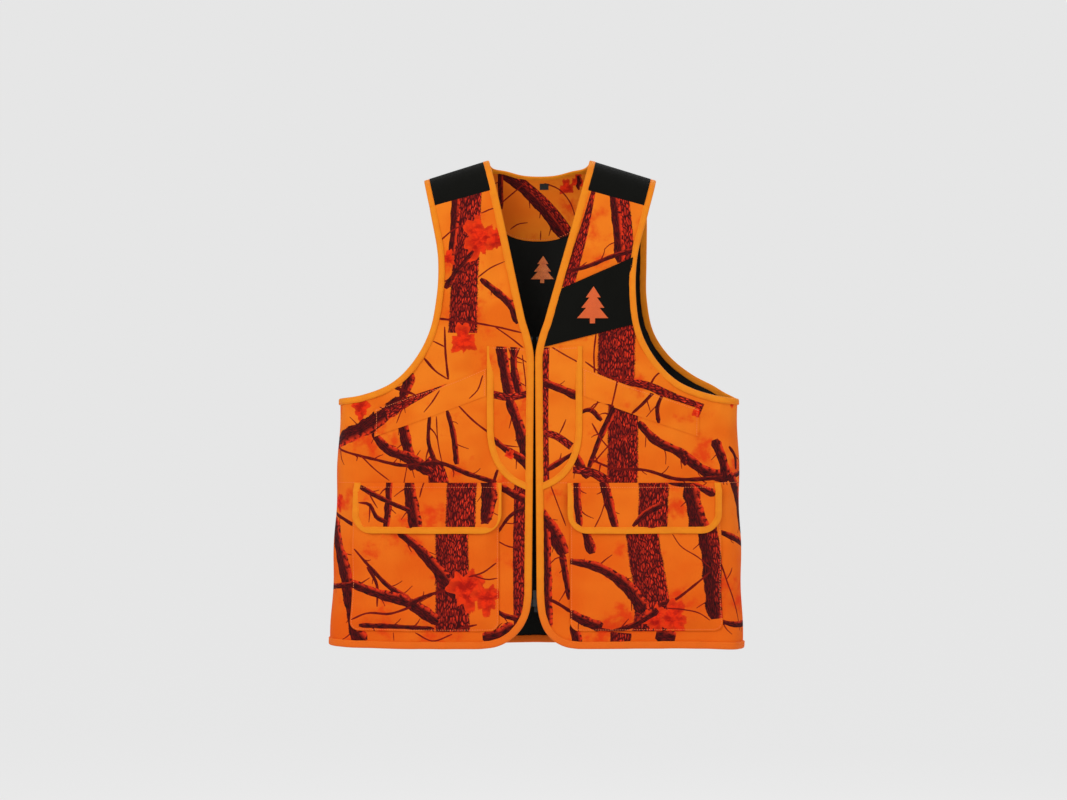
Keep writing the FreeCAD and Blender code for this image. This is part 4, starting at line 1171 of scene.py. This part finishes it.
def satin_material(name, dark, light, pitch):
    """Close satin stitches that lie side by side."""
    shader = Shader(name, roughness=0.42, sheen=0.05)
    flat = shader.attribute("flat")
    x, z, _ = shader.parts(flat)
    slant = shader.math("ADD", x, shader.times(z, 2.4))
    row = shader.math("MULTIPLY_ADD", shader.wave(slant, pitch), 0.5, 0.5)
    tone = shader.noise(flat, 240.0, 2.0)
    share = shader.math("MULTIPLY_ADD", row, 0.6, shader.times(tone, 0.4))
    return shader.finish(shader.mix(share, linear(*dark), linear(*light)), row, 0.0002)


def film_material():
    """Thin printed film with fine cracks from washing."""
    shader = Shader("transfer_print", roughness=0.5, specular=0.4)
    flat = shader.attribute("flat")
    crack = shader.cells(flat, 420.0)
    tone = shader.noise(flat, 70.0)
    colour = shader.mix(shader.ramp(tone, 0.3, 0.7), linear(232, 122, 46), linear(214, 96, 30))
    colour = shader.mix(shader.ramp(crack, 0.0, 0.03, 0.8, 0.0), colour, linear(60, 34, 18))
    return shader.finish(colour, crack, 0.0001)


def nap_material(name, colour, tuft, scale):
    """Dense loops or hooks."""
    shader = Shader(name, roughness=0.95, sheen=0.15, specular=0.1)
    flat = shader.attribute("flat")
    loops = shader.cells(flat, scale, feature="F1")
    fuzz = shader.noise(flat, scale * 0.4, 4.0)
    share = shader.times(loops, shader.math("ADD", fuzz, 0.4))
    return shader.finish(shader.mix(share, linear(*colour), linear(*tuft)), loops, 0.0006)


def hard_material(name, dark, light, roughness):
    """Painted metal or moulded plastic, rubbed a little."""
    shader = Shader(name, roughness=roughness)
    place = shader.tree.nodes.new("ShaderNodeTexCoord").outputs["Object"]
    rub = shader.noise(place, 600.0, 4.0)
    speckle = shader.noise(place, 3000.0, 2.0)
    share = shader.times(shader.ramp(rub, 0.45, 0.75), 0.7)
    colour = shader.mix(share, linear(*dark), linear(*light))
    return shader.finish(colour, speckle, 0.00004)


MATERIALS = {
    "blaze_print": print_material(),
    "black_shell": plain_material("black_shell", (5, 5, 3), (12, 12, 8), (22, 20, 16),
                                  0.0010, 0.9, 0.00016),
    "black_lining": plain_material("black_lining", (7, 7, 5), (17, 16, 12), (24, 22, 18),
                                   0.0006, 0.65, 0.00008),
    "orange_binding": binding_material(),
    "label": satin_material("label", (14, 13, 12), (30, 29, 27), 0.0005),
    "transfer_print": film_material(),
    "embroidery": satin_material("embroidery", (214, 78, 24), (250, 112, 40), 0.0007),
    "hook_and_loop": nap_material("hook_and_loop", (10, 10, 9), (44, 42, 38), 900.0),
    "zip_tape": plain_material("zip_tape", (14, 13, 12), (30, 28, 26), (36, 34, 30),
                               0.0008, 0.75, 0.00014, sheen=0.05),
    "zip_coil": hard_material("zip_coil", (8, 8, 7), (20, 19, 18), 0.45),
    "zip_metal": hard_material("zip_metal", (5, 5, 5), (16, 15, 14), 0.55),
}


# ---------------------------------------------------------------- placing finished pieces

def at_height(height):
    """A point on the middle line at a height above the hem, in metres."""
    return (0.0, 0.0, (height + HEM) * 0.001)


def place_piece(maker, node, slot, body, crosses=None):
    """Write a piece that stands for a CAD node, hide the node, and, unless the piece crosses a
    joint, attach it to its body.

    What it crosses, (other body, start height, end height), is a joint; a piece that crosses one is
    not attached and stays where it lies.
    """
    piece = maker.write(f"{node}_cloth")
    piece.data.materials.append(MATERIALS[slot])
    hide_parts(node)
    if crosses is None:
        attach(piece, body)
    else:
        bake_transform(piece)
    return piece


def cloth(node, slot, body, outline, place, layer, step, crosses=None, rows=(), row_out=None,
          sink=0.0, **kind):
    """A piece of cloth laid on the form, with its rows of stitches."""
    maker = Maker()
    add_cloth(maker, outline, place, *layer, step=step, **kind)
    for row in rows:
        stitch_line(maker, place, row, layer[0] if row_out is None else row_out, sink)
    return place_piece(maker, node, slot, body, crosses)


def binding(node, body, line, width, layer, hand, crosses=None):
    """Binding and its row of stitches along points with outward directions."""
    points = line[:, :3]
    outward = unit(line[:, 3:])
    maker = Maker()
    add_binding(maker, points, outward, width, *layer, hand)
    inset = width - STITCH_INSET
    add_stitches(maker, points + inward_of(points, outward, hand) * inset + outward * layer[0],
                 outward)
    return place_piece(maker, node, "orange_binding", body, crosses)


# ---------------------------------------------------------------- edges of the vest, for the left

NECK_SEEN = shoulder_seen(0, YOKE_RISE)
TIP_SEEN = shoulder_seen(SHOULDER_LENGTH, YOKE_RISE)
EDGE_WIDTH = 11.0
ARMHOLE_WIDTH = 9.5
PATCH_WIDTH = 10.0
SEAM_INSET = 2.0

# the foot of each front edge, from where it leaves the opening: the right sweeps further out
SWEEP = {
    RIGHT: [(4.0, 76), (8.5, 50), (20, 28), (37, 12), (56, 3), (78, 0)],
    LEFT: [(3.0, 76), (6.5, 48), (15, 26), (29, 11), (45, 3), (64, 0)],
}

# the armholes: the back's left one is cut wider, so that its lining shows past the front's
FRONT_ARMHOLE = [(146.5, 567), (146.5, 515), (156.5, 463), (174.5, 429), (208.5, 393), (264.5, 371)]
BACK_ARMHOLE = {
    RIGHT: [(150, 567), (150, 515), (160, 463), (178, 429), (212, 393), (268, 371)],
    LEFT: [(165, 567), (167, 515), (180, 463), (202, 431), (237, 402), (277, 381)],
}


def front_edge(side):
    """Front edge from the shoulder down the neck and the opening, and out along the hem."""
    vee = curve([NECK_SEEN, (14, 480)])
    bend = curve([(14, 480), (6.8, 458), (1.6, 435), (0.8, 400)])
    opening = curve([(0.8, 400), SWEEP[side][0]])
    upper = smoothed(joined(vee, bend, opening, curve(SWEEP[side])), 1)
    hem = curve([SWEEP[side][-1], (HALF_WIDTH, 0)])
    return arc_of(joined(upper, hem))


def armhole(points):
    """Armhole edge, from the shoulder's tip to the side seam."""
    return arc_of(curve([TIP_SEEN] + points + [(HALF_WIDTH, UNDERARM)]))


def neck_line(drop=0.0):
    """Back neck curve, lowered by a drop."""
    points = mirrored([(0, 699), (28, 701), (50, 707), (74, 710)])
    return arc_of(curve([(x, height - drop) for x, height in points], 3.0))


def neck_within(reach):
    """The back neck curve, just inside its binding, out to a reach from the middle."""
    line = neck_line(SEAM_INSET)
    return line[np.abs(line[:, 0]) < reach]


def drawn(points, side):
    """A smooth line drawn for the left, on a side."""
    return flipped(arc_of(curve(points)), side)


def pocket_line(inner_x, outer_x, bottom, top, radius, inset=0.0):
    """Sides, rounded lower corners and bottom of a pocket or flap, from the top outer end."""
    inner_x, outer_x, bottom = inner_x + inset, outer_x - inset, bottom + inset
    radius = max(radius - inset, 1.0)
    turn = np.linspace(0, math.pi / 2, 9)
    outer = np.stack([outer_x - radius + radius * np.cos(turn),
                      bottom + radius - radius * np.sin(turn)], 1)
    inner = np.stack([inner_x + radius - radius * np.sin(turn),
                      bottom + radius - radius * np.cos(turn)], 1)
    return arc_of(joined(curve([(outer_x, top), outer[0]]), outer,
                         curve([outer[-1], inner[0]]), inner, curve([inner[-1], (inner_x, top)])))


def loop_of(*corners, step=5.0):
    """A closed outline with straight edges."""
    corners = [np.array(corner, float) for corner in corners]
    sides = [curve([a, b], step)[:-1] for a, b in zip(corners, corners[1:] + corners[:1])]
    return arc_of(np.concatenate(sides))


def rectangle(box, step, inset=0.0):
    """A rectangle's outline from its least and greatest x and its lowest and highest height."""
    near, far = box[0] + inset, box[1] - inset
    low, high = box[2] + inset, box[3] - inset
    return loop_of((near, low), (far, low), (far, high), (near, high), step=step)


def pine_tree(x, height, size):
    """A plain pine tree of three tiers with a trunk, about a centre."""
    tiers = [(0, 0.5), (0.2, 0.2), (0.1, 0.2), (0.31, -0.08), (0.18, -0.08), (0.42, -0.36),
             (0.07, -0.36), (0.07, -0.5)]
    half = [(x + size * across, height + size * up) for across, up in tiers]
    other = [(x - size * across, height + size * up) for across, up in tiers[:0:-1]]
    return loop_of(*half, *other, step=2.0)


# ---------------------------------------------------------------- back

NECK_REACH = 70.0
YOKE_LAP = 10.0
LAP_TOP = 42.0
BACK_PRINT = woodland((-330, -10), (330, 720), 48)
FACING_REACH = 72.0
HOLLOW = [(0, 602), (24, 604), (46, 612), (62, 628), (FACING_REACH, 646)]
HOLLOW_STITCHES = [(0, 604.5), (24, 606.5), (46, 614.5), (58, 630)]
LABEL_BOX = (1, 14, 680, 689.5)


def back_outline():
    """The back, to just inside its bound edges and under the yokes."""
    halves = {}
    for side in (RIGHT, LEFT):
        seam = arc_of([(HALF_WIDTH, SEAM_INSET), (HALF_WIDTH, UNDERARM - SEAM_INSET)])
        arm = beside(armhole(BACK_ARMHOLE[side]), -SEAM_INSET)[::-1]
        under_yoke = arc_of([shoulder_seen(YOKE_LAP, YOKE_RISE), shoulder_seen(YOKE_LAP, LAP_TOP)])
        halves[side] = flipped(np.concatenate([seam, arm, under_yoke]), side)
    neck = neck_within(NECK_REACH)[::-1]
    return filled(np.concatenate([halves[LEFT], neck, halves[RIGHT][::-1]]))


def hem_binding():
    """Binding along the back's hem, from side seam to side seam."""
    line = even([(-HALF_GIRTH, 0), (HALF_GIRTH, 0)], 4.0)
    maker = Maker()
    add_binding(maker, *frames_on(ON_BACK, line), EDGE_WIDTH, *BINDING, -1)
    stitch_line(maker, ON_BACK, beside(line, EDGE_WIDTH - STITCH_INSET), BINDING[0])
    return place_piece(maker, "back_hem_binding", "orange_binding", "back")


BACK_OUTLINE = back_outline()
FACING_OUTLINE = filled(np.concatenate([neck_within(FACING_REACH),
                                        curve(mirrored(HOLLOW)[::-1])]))

back_panel = cloth("back_panel", "blaze_print", "back", BACK_OUTLINE, ON_BACK, SHELL, 5.0,
                   branches=BACK_PRINT, turned=True)
back_lining = cloth("back_lining", "black_lining", "back", BACK_OUTLINE, ON_BACK, BACK_LINING,
                    8.0, turned=True)
neck_facing = cloth("neck_facing", "blaze_print", "back", FACING_OUTLINE, ON_BACK, FACING, 4.0,
                    rows=[curve(mirrored(HOLLOW_STITCHES)[::-1])],
                    row_out=FACING[0] - FACING[1] - 0.2, sink=0.4,
                    branches=printed("neck_facing"), turned=True)
size_label = cloth("size_label", "label", "back", rectangle(LABEL_BOX, 2.0), ON_BACK, LABEL, 2.5,
                   turned=True)
lining_emblem = cloth("lining_emblem", "transfer_print", "back", pine_tree(9, 560, 41), ON_BACK,
                      LINING_EMBLEM, 3.0, turned=True)
back_hem = hem_binding()


# ---------------------------------------------------------------- shoulders

FIRST_ANGLE = math.asin(YOKE_RISE / NECK_RADIUS)
NAPE_ANGLE = math.radians(116)
NAPE_REACH = 68.0
NAPE_MIDDLE = 6.0
YOKE_ROUND = 51.0
YOKE_NEAR = 9.0
YOKE_FAR = SHOULDER_LENGTH - 9.0


def over_shoulder(side, distance, first, last):
    """Points and outward directions over a shoulder between two angles."""
    angles = np.linspace(first, last, 40)
    distances = np.full_like(angles, distance)
    place = shoulder_place(side)
    points = place(distances, angles, 0.0)
    return np.concatenate([points, place(distances, angles, 1.0) - points], 1)


def neck_edge():
    """Points with outward directions from one front, round the nape, to the other front."""
    nape = edge_points(ON_BACK, neck_line())
    nape = nape[np.abs(nape[:, 0] - NAPE_MIDDLE) < NAPE_REACH]
    line = np.concatenate([over_shoulder(RIGHT, 0, FIRST_ANGLE, NAPE_ANGLE), nape,
                           over_shoulder(LEFT, 0, FIRST_ANGLE, NAPE_ANGLE)[::-1]])
    return smoothed(even(line, 3.0), 6)


def on_yoke(side):
    """The way a yoke is laid, from a distance down the shoulder and a length over it."""
    lay = shoulder_place(side)

    def place(distance, length, out):
        return lay(distance, length / YOKE_ROUND, out)
    return place


def make_yoke(name, side):
    """The yoke over a shoulder, and its lining."""
    low = (FIRST_ANGLE - 0.012) * YOKE_ROUND
    high = (math.pi - FIRST_ANGLE + 0.02) * YOKE_ROUND
    outline = filled(np.array([(YOKE_NEAR, low), (YOKE_FAR, low), (YOKE_FAR, high),
                               (YOKE_NEAR, high)]))
    rows = [even([(YOKE_NEAR + 1, row), (YOKE_FAR - 1, row)], 3.0)
            for row in (low + 1.6, high - 1.6)]
    for node, slot, layer, stitched in (("yoke", "black_shell", YOKE, rows),
                                        ("yoke_lining", "black_lining", FRONT_LINING, [])):
        piece = cloth(f"{node}_{name}", slot, "back", outline, on_yoke(side), layer, 5.0,
                      rows=stitched, turned=side == RIGHT)


def back_armhole_binding(name, side):
    """Binding over the shoulder's tip and down the back's armhole."""
    line = armhole(BACK_ARMHOLE[side])
    line = line[line[:, 1] < TIP_SEEN[1] - 6]
    down_back = edge_points(ON_BACK, flipped(line, side))
    tip = over_shoulder(side, SHOULDER_LENGTH, FIRST_ANGLE, math.pi - FIRST_ANGLE)
    line = smoothed(even(np.concatenate([tip, down_back]), 3.0), 3)
    return binding(f"back_armhole_binding_{name}", "back", line, ARMHOLE_WIDTH, BINDING, side)


back_trims = [back_hem, binding("neck_binding", "back", neck_edge(), ARMHOLE_WIDTH, BINDING, 1)]
for name, side in SIDES.items():
    make_yoke(name, side)
    back_trims.append(back_armhole_binding(name, side))


# ---------------------------------------------------------------- fronts

# the joint that a front's pieces cross: from the back's cloth at the yoke down to the front; pieces
# that cross it are not attached to a body
FRONT_BEND = ("back", 680.0, 500.0)
POCKET_SEAMS = ([(272, 243), (299, 243)], [(16, 243), (46, 243)])
PATCH_EDGE = [(70, 443), (70, 380), (70, 330), (69.5, 312), (66, 291), (57, 269), (42, 250),
              (26, 239), (13, 233)]
PANEL_INSET = 6.5
PANEL_FOOT = 474.0
PANEL_TOP = 573.0
PANEL_VEE = [(34, 525.5), (22, 482), (13, 455), (8, 440)]
PANEL_STITCHES = ([(14, 443.5), (136, 473.5)], [(134, 567.5), (42, 527)])
BAG_CORNERS = [(76, 404), (76, 290), (92, 262), (262, 262), (278, 290), (278, 306), (240, 350)]
WELT_LOWER = [(71, 370), (150, 341), (241, 310)]
WELT_UPPER = [(242, 351), (190, 368), (120, 391), (71, 411)]
WELT_STITCHES = ([(72, 408.5), (120, 388.5), (190, 365.5), (240, 349)],
                 [(238.5, 349), (238, 313)], [(73.5, 406), (73.5, 371.5)])
# inner and outer x, bottom, top and corner radius
POCKET = (52, 270, 26, 231, 14)
FLAP = (48, 270, 169, 243, 29)
FLAP_FOLD = 8.0
TAPE_BOX = (109, 209, 182, 202)
ZIP_TAPE_BOX = (5.5, 17, 62, 458)


def pocket_lift(u, z):
    """How far a cargo pocket stands off the shell behind it."""
    inner_x, outer_x, bottom, _, _ = POCKET
    w = np.abs(u)
    inset = np.minimum(np.minimum(w - inner_x, outer_x - w), z - bottom)
    swell = 7.4 * ease(inset, -2, 24) ** 0.75
    sag = 0.88 * ease(inset, 6, 40) * np.sin((z - 40) / 36.0 + u / 55.0)
    pleat = 1.3 * np.exp(-((w - 224) / 4.0) ** 2) * ease(z, 60, 140) * (u < 0)
    return 0.2 + swell + sag + pleat


def flap_lift(u, z):
    """How far a flap stands off the shell behind it."""
    inner_x, outer_x, _, top, _ = FLAP
    w = np.abs(u)
    ends = 0.62 + 0.38 * ease(np.minimum(w - inner_x, outer_x - w), 0, 36)
    drop = ease(top - z, 0, 13)
    wave = 0.5 * np.sin(u / 17.0) * ease(top - z, 20, 70)
    return 1.6 + 11.2 * drop * ends + wave


def edge_lift(_, z):
    """The fronts' bindings sink towards the shoulder, to meet those of the yoke."""
    return -1.6 * ease(z, 590, 650)


def zip_lift(u, _):
    """A zip tape lies behind the shell, and further behind at the coil."""
    return -5.8 + 2.5 * ease(np.abs(u), 9, 16)


def front_outline(side):
    """A front, to just inside its bound edges and the seam under the yoke."""
    edge = beside(front_edge(side), SEAM_INSET)
    arm = beside(armhole(FRONT_ARMHOLE), -SEAM_INSET)[::-1]
    return filled(flipped(np.concatenate([edge, arm]), side))


def make_front(name, side):
    """A front's shell and lining, and its bound edges."""
    body = f"front_{name}"
    outline = front_outline(side)
    panel = cloth(f"front_panel_{name}", "blaze_print", body, outline, ON_FRONT, SHELL, 4.5,
                  FRONT_BEND, [drawn(seam, side) for seam in POCKET_SEAMS],
                  branches=printed(f"front_panel_{name}"))
    inner = cloth(f"front_lining_{name}", "black_lining", body, outline, ON_FRONT, FRONT_LINING,
                  8.0, FRONT_BEND)
    for kind, line, width, hand in (("edge", front_edge(side), EDGE_WIDTH, side),
                                    ("armhole", armhole(FRONT_ARMHOLE), ARMHOLE_WIDTH, -side)):
        line = edge_points(lifted(ON_FRONT, edge_lift), flipped(even(line, 3.0), side))
        binding(f"front_{kind}_binding_{name}", body, line, width, FRONT_BINDING,
                             hand, FRONT_BEND)


def make_chest_patch(name, side):
    """The bound patch beside the opening."""
    body = f"front_{name}"
    path = curve(PATCH_EDGE)
    outline = np.concatenate([beside(path, -SEAM_INSET), [(7, 238), (7, 440)]])
    outline = filled(flipped(outline, side))
    patch = cloth(f"chest_patch_{name}", "blaze_print", body, outline, ON_FRONT, PATCH, 4.0,
                  rows=[drawn([(13, 437), (60, 440)], side)],
                  branches=printed(f"chest_patch_{name}"))
    line = edge_points(ON_FRONT, flipped(arc_of(even(path, 3.0)), side))
    trim = binding(f"chest_patch_binding_{name}", body, line, PATCH_WIDTH, PATCH_BINDING, -side)


def make_chest_panel():
    """The plain panel across the left front's chest, and its emblem."""
    arm = beside(armhole(FRONT_ARMHOLE), -PANEL_INSET)[::-1]
    arm = arm[(arm[:, 1] > PANEL_FOOT) & (arm[:, 1] < PANEL_TOP)]
    outline = filled(np.concatenate([arm, arc_of(PANEL_VEE)]))
    panel = cloth("chest_panel_left", "black_shell", "front_left", outline, ON_FRONT, PANEL, 4.0,
                  FRONT_BEND, [drawn(seam, LEFT) for seam in PANEL_STITCHES])
    emblem = cloth("chest_emblem_left", "embroidery", "front_left", pine_tree(84, 503, 54),
                   ON_FRONT, PANEL_EMBLEM, 3.0, FRONT_BEND)


def make_hand_pocket(name, side):
    """A hand pocket: its bag, and the slanted welt over its mouth."""
    body = f"front_{name}"
    outline = filled(flipped(arc_of(BAG_CORNERS), side))
    bag = cloth(f"hand_pocket_bag_{name}", "black_lining", body, outline, ON_FRONT, BAG, 10.0)
    outline = np.concatenate([curve(WELT_LOWER), curve(WELT_UPPER)])
    outline = filled(flipped(arc_of(outline), side))
    welt = cloth(f"hand_pocket_welt_{name}", "blaze_print", body, outline, ON_FRONT, PATCH, 4.0,
                 rows=[drawn(row, side) for row in WELT_STITCHES],
                 branches=printed(f"hand_pocket_welt_{name}"))


def make_cargo_pocket(name, side):
    """A cargo pocket with its loop tape."""
    body = f"front_{name}"
    place = lifted(ON_FRONT, pocket_lift)
    outline = filled(flipped(pocket_line(*POCKET), side))
    rows = [flipped(pocket_line(*POCKET, 2.2), side), drawn([(58, 222), (264, 222)], side)]
    pocket = cloth(f"cargo_pocket_{name}", "blaze_print", body, outline, place, POCKET_CLOTH, 4.0,
                   rows=rows, branches=printed(f"cargo_pocket_{name}"))
    tape = cloth(f"cargo_loop_tape_{name}", "hook_and_loop", body,
                 flipped(rectangle(TAPE_BOX, 4.0), side), place, LOOP_TAPE, 4.0,
                 rows=[flipped(rectangle(TAPE_BOX, 4.0, 1.5), side)])


def make_flap(name, side):
    """A flap, which bends along its top seam, with its binding and hook tape."""
    body = f"pocket_flap_{name}"
    place = lifted(ON_FRONT, flap_lift)
    top = FLAP[3]
    bend = (f"front_{name}", top, top - FLAP_FOLD)
    outline = filled(flipped(pocket_line(*FLAP, 1.6), side))
    flap = cloth(f"flap_{name}", "blaze_print", body, outline, place, FLAP_CLOTH, 3.5, bend,
                 [drawn([(56, 236.5), (262, 236.5)], side)], branches=printed(f"flap_{name}"))
    line = edge_points(place, even(flipped(pocket_line(*FLAP), side), 3.0))
    trim = binding(f"flap_binding_{name}", body, line, PATCH_WIDTH, FLAP_BINDING, -side, bend)
    tape = cloth(f"flap_hook_tape_{name}", "hook_and_loop", body,
                 flipped(rectangle(TAPE_BOX, 4.0), side), place, HOOK_TAPE, 4.0)


# ---------------------------------------------------------------- zip, undone

COIL_X = 4.2
COIL_DEPTH = 47.9
COIL_FOOT = 73.2
COIL_TOP = 451.8
COIL_PITCH = 1.35
COIL_WIDE = 1.2075
COIL_DEEP = 0.92
COIL_WIRE = 0.36
WIRE_SIDES = 5
STEPS_A_TURN = 9


def add_coil(maker, x):
    """A nylon zip coil: one wire wound round an upright line, a little flattened."""
    turns = (COIL_TOP - COIL_FOOT) / COIL_PITCH
    turn = np.linspace(0, turns * 2 * math.pi, int(turns * STEPS_A_TURN))
    centre = np.stack([x + COIL_WIDE * np.cos(turn), -COIL_DEPTH + COIL_DEEP * np.sin(turn),
                       COIL_FOOT + turn * COIL_PITCH / (2 * math.pi)], 1)
    tangent = unit(np.gradient(centre, axis=0))
    first = unit(np.cross(tangent, (0.0, 0.0, 1.0)))
    second = np.cross(tangent, first)
    rings = centre[:, None] + circle_of(first, second, COIL_WIRE, WIRE_SIDES)
    index, quads = tube_faces(len(turn), WIRE_SIDES)
    points = rings.reshape(-1, 3)
    start = maker.add(points, points, quads)
    maker.add_faces([index[0][::-1][:4], index[-1][:4]], start)


def make_zip(name, side):
    """A half of the zip: its tape and its coil."""
    body = f"front_{name}"
    cloth(f"zip_tape_{name}", "zip_tape", body, flipped(rectangle(ZIP_TAPE_BOX, 5.0), side),
          lifted(ON_FRONT, zip_lift), ZIP_TAPE, 3.0, rows=[drawn([(14.5, 64), (14.5, 456)], side)],
          sink=0.3)
    maker = Maker()
    add_coil(maker, side * COIL_X)
    place_piece(maker, f"zip_coil_{name}", "zip_coil", body)


for name, side in SIDES.items():
    make_front(name, side)
    make_chest_patch(name, side)
    if side == LEFT:
        make_chest_panel()
    make_hand_pocket(name, side)
    make_cargo_pocket(name, side)
    make_flap(name, side)
    make_zip(name, side)

ZIP_PARTS = {
    "zip_metal": ("zip_top_stop_right", "zip_top_stop_left", "zip_slider", "zip_pull"),
    "zip_coil": ("zip_pin_right", "zip_box_left"),
}
for slot, nodes in ZIP_PARTS.items():
    for node in nodes:
        for material_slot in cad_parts[node].material_slots:
            material_slot.material = MATERIALS[slot]


# ---------------------------------------------------------------- stage, light and camera

VIEW_HEIGHT = 364.0
MIDDLE_HEIGHT = at_height(VIEW_HEIGHT)[2]
CAMERA_X = -0.0015
CAMERA_REACH = 3.8
VIEW_WIDTH = 1.552
SENSOR = 36.0
PALE = linear(230, 230, 230)
FLOOR_DROP = 0.75
FLOOR_REACH = 22.0
PAPER_SHADE = 0.2
PAPER_GLOW = 0.8

camera_data = bpy.data.cameras.new("camera")
camera_data.sensor_width = SENSOR
camera_data.lens = SENSOR * CAMERA_REACH / VIEW_WIDTH
camera = bpy.data.objects.new("camera", camera_data)
camera.location = (CAMERA_X, cad_box[0].y - CAMERA_REACH, MIDDLE_HEIGHT)
camera.rotation_euler = (math.pi / 2, 0, 0)
bpy.context.scene.collection.objects.link(camera)
bpy.context.scene.camera = camera

world = bpy.data.worlds.new("studio")
world.use_nodes = True
world.node_tree.nodes["Background"].inputs["Color"].default_value = PALE
bpy.context.scene.world = world
bpy.context.scene.view_settings.view_transform = "Standard"

# the floor glows a little, so that it is as pale as the world behind it
paper = bpy.data.materials.new("paper")
paper.use_nodes = True
paper_surface = paper.node_tree.nodes["Principled BSDF"].inputs
paper_surface["Base Color"].default_value = (PAPER_SHADE, PAPER_SHADE, PAPER_SHADE, 1)
paper_surface["Roughness"].default_value = 1.0
paper_surface["Specular IOR Level"].default_value = 0.0
paper_surface["Emission Color"].default_value = PALE
paper_surface["Emission Strength"].default_value = PAPER_GLOW
floor_height = cad_box[0].z - FLOOR_DROP
rim = [(FLOOR_REACH * math.cos(a), FLOOR_REACH * math.sin(a), floor_height)
       for a in np.linspace(0, 2 * math.pi, 64, endpoint=False)]
floor_mesh = bpy.data.meshes.new("floor")
floor_mesh.from_pydata(rim, [], [range(len(rim))])
floor_mesh.materials.append(paper)
floor = bpy.data.objects.new("floor", floor_mesh)
bpy.context.scene.collection.objects.link(floor)

# place, power and size
LAMPS = {
    "key": ((-1.5, -2.6, 1.3), 46.0, 1.8),
    "fill": ((2.2, -2.2, 0.2), 14.0, 2.2),
    "rim": ((0.6, 2.6, 1.4), 30.0, 1.8),
}
for name, (place, power, size) in LAMPS.items():
    lamp_data = bpy.data.lights.new(name, "AREA")
    lamp_data.energy = power
    lamp_data.size = size
    lamp = bpy.data.objects.new(name, lamp_data)
    lamp.location = place
    aim = Vector((0, 0, MIDDLE_HEIGHT)) - lamp.location
    lamp.rotation_euler = aim.to_track_quat("-Z", "Y").to_euler()
    bpy.context.scene.collection.objects.link(lamp)
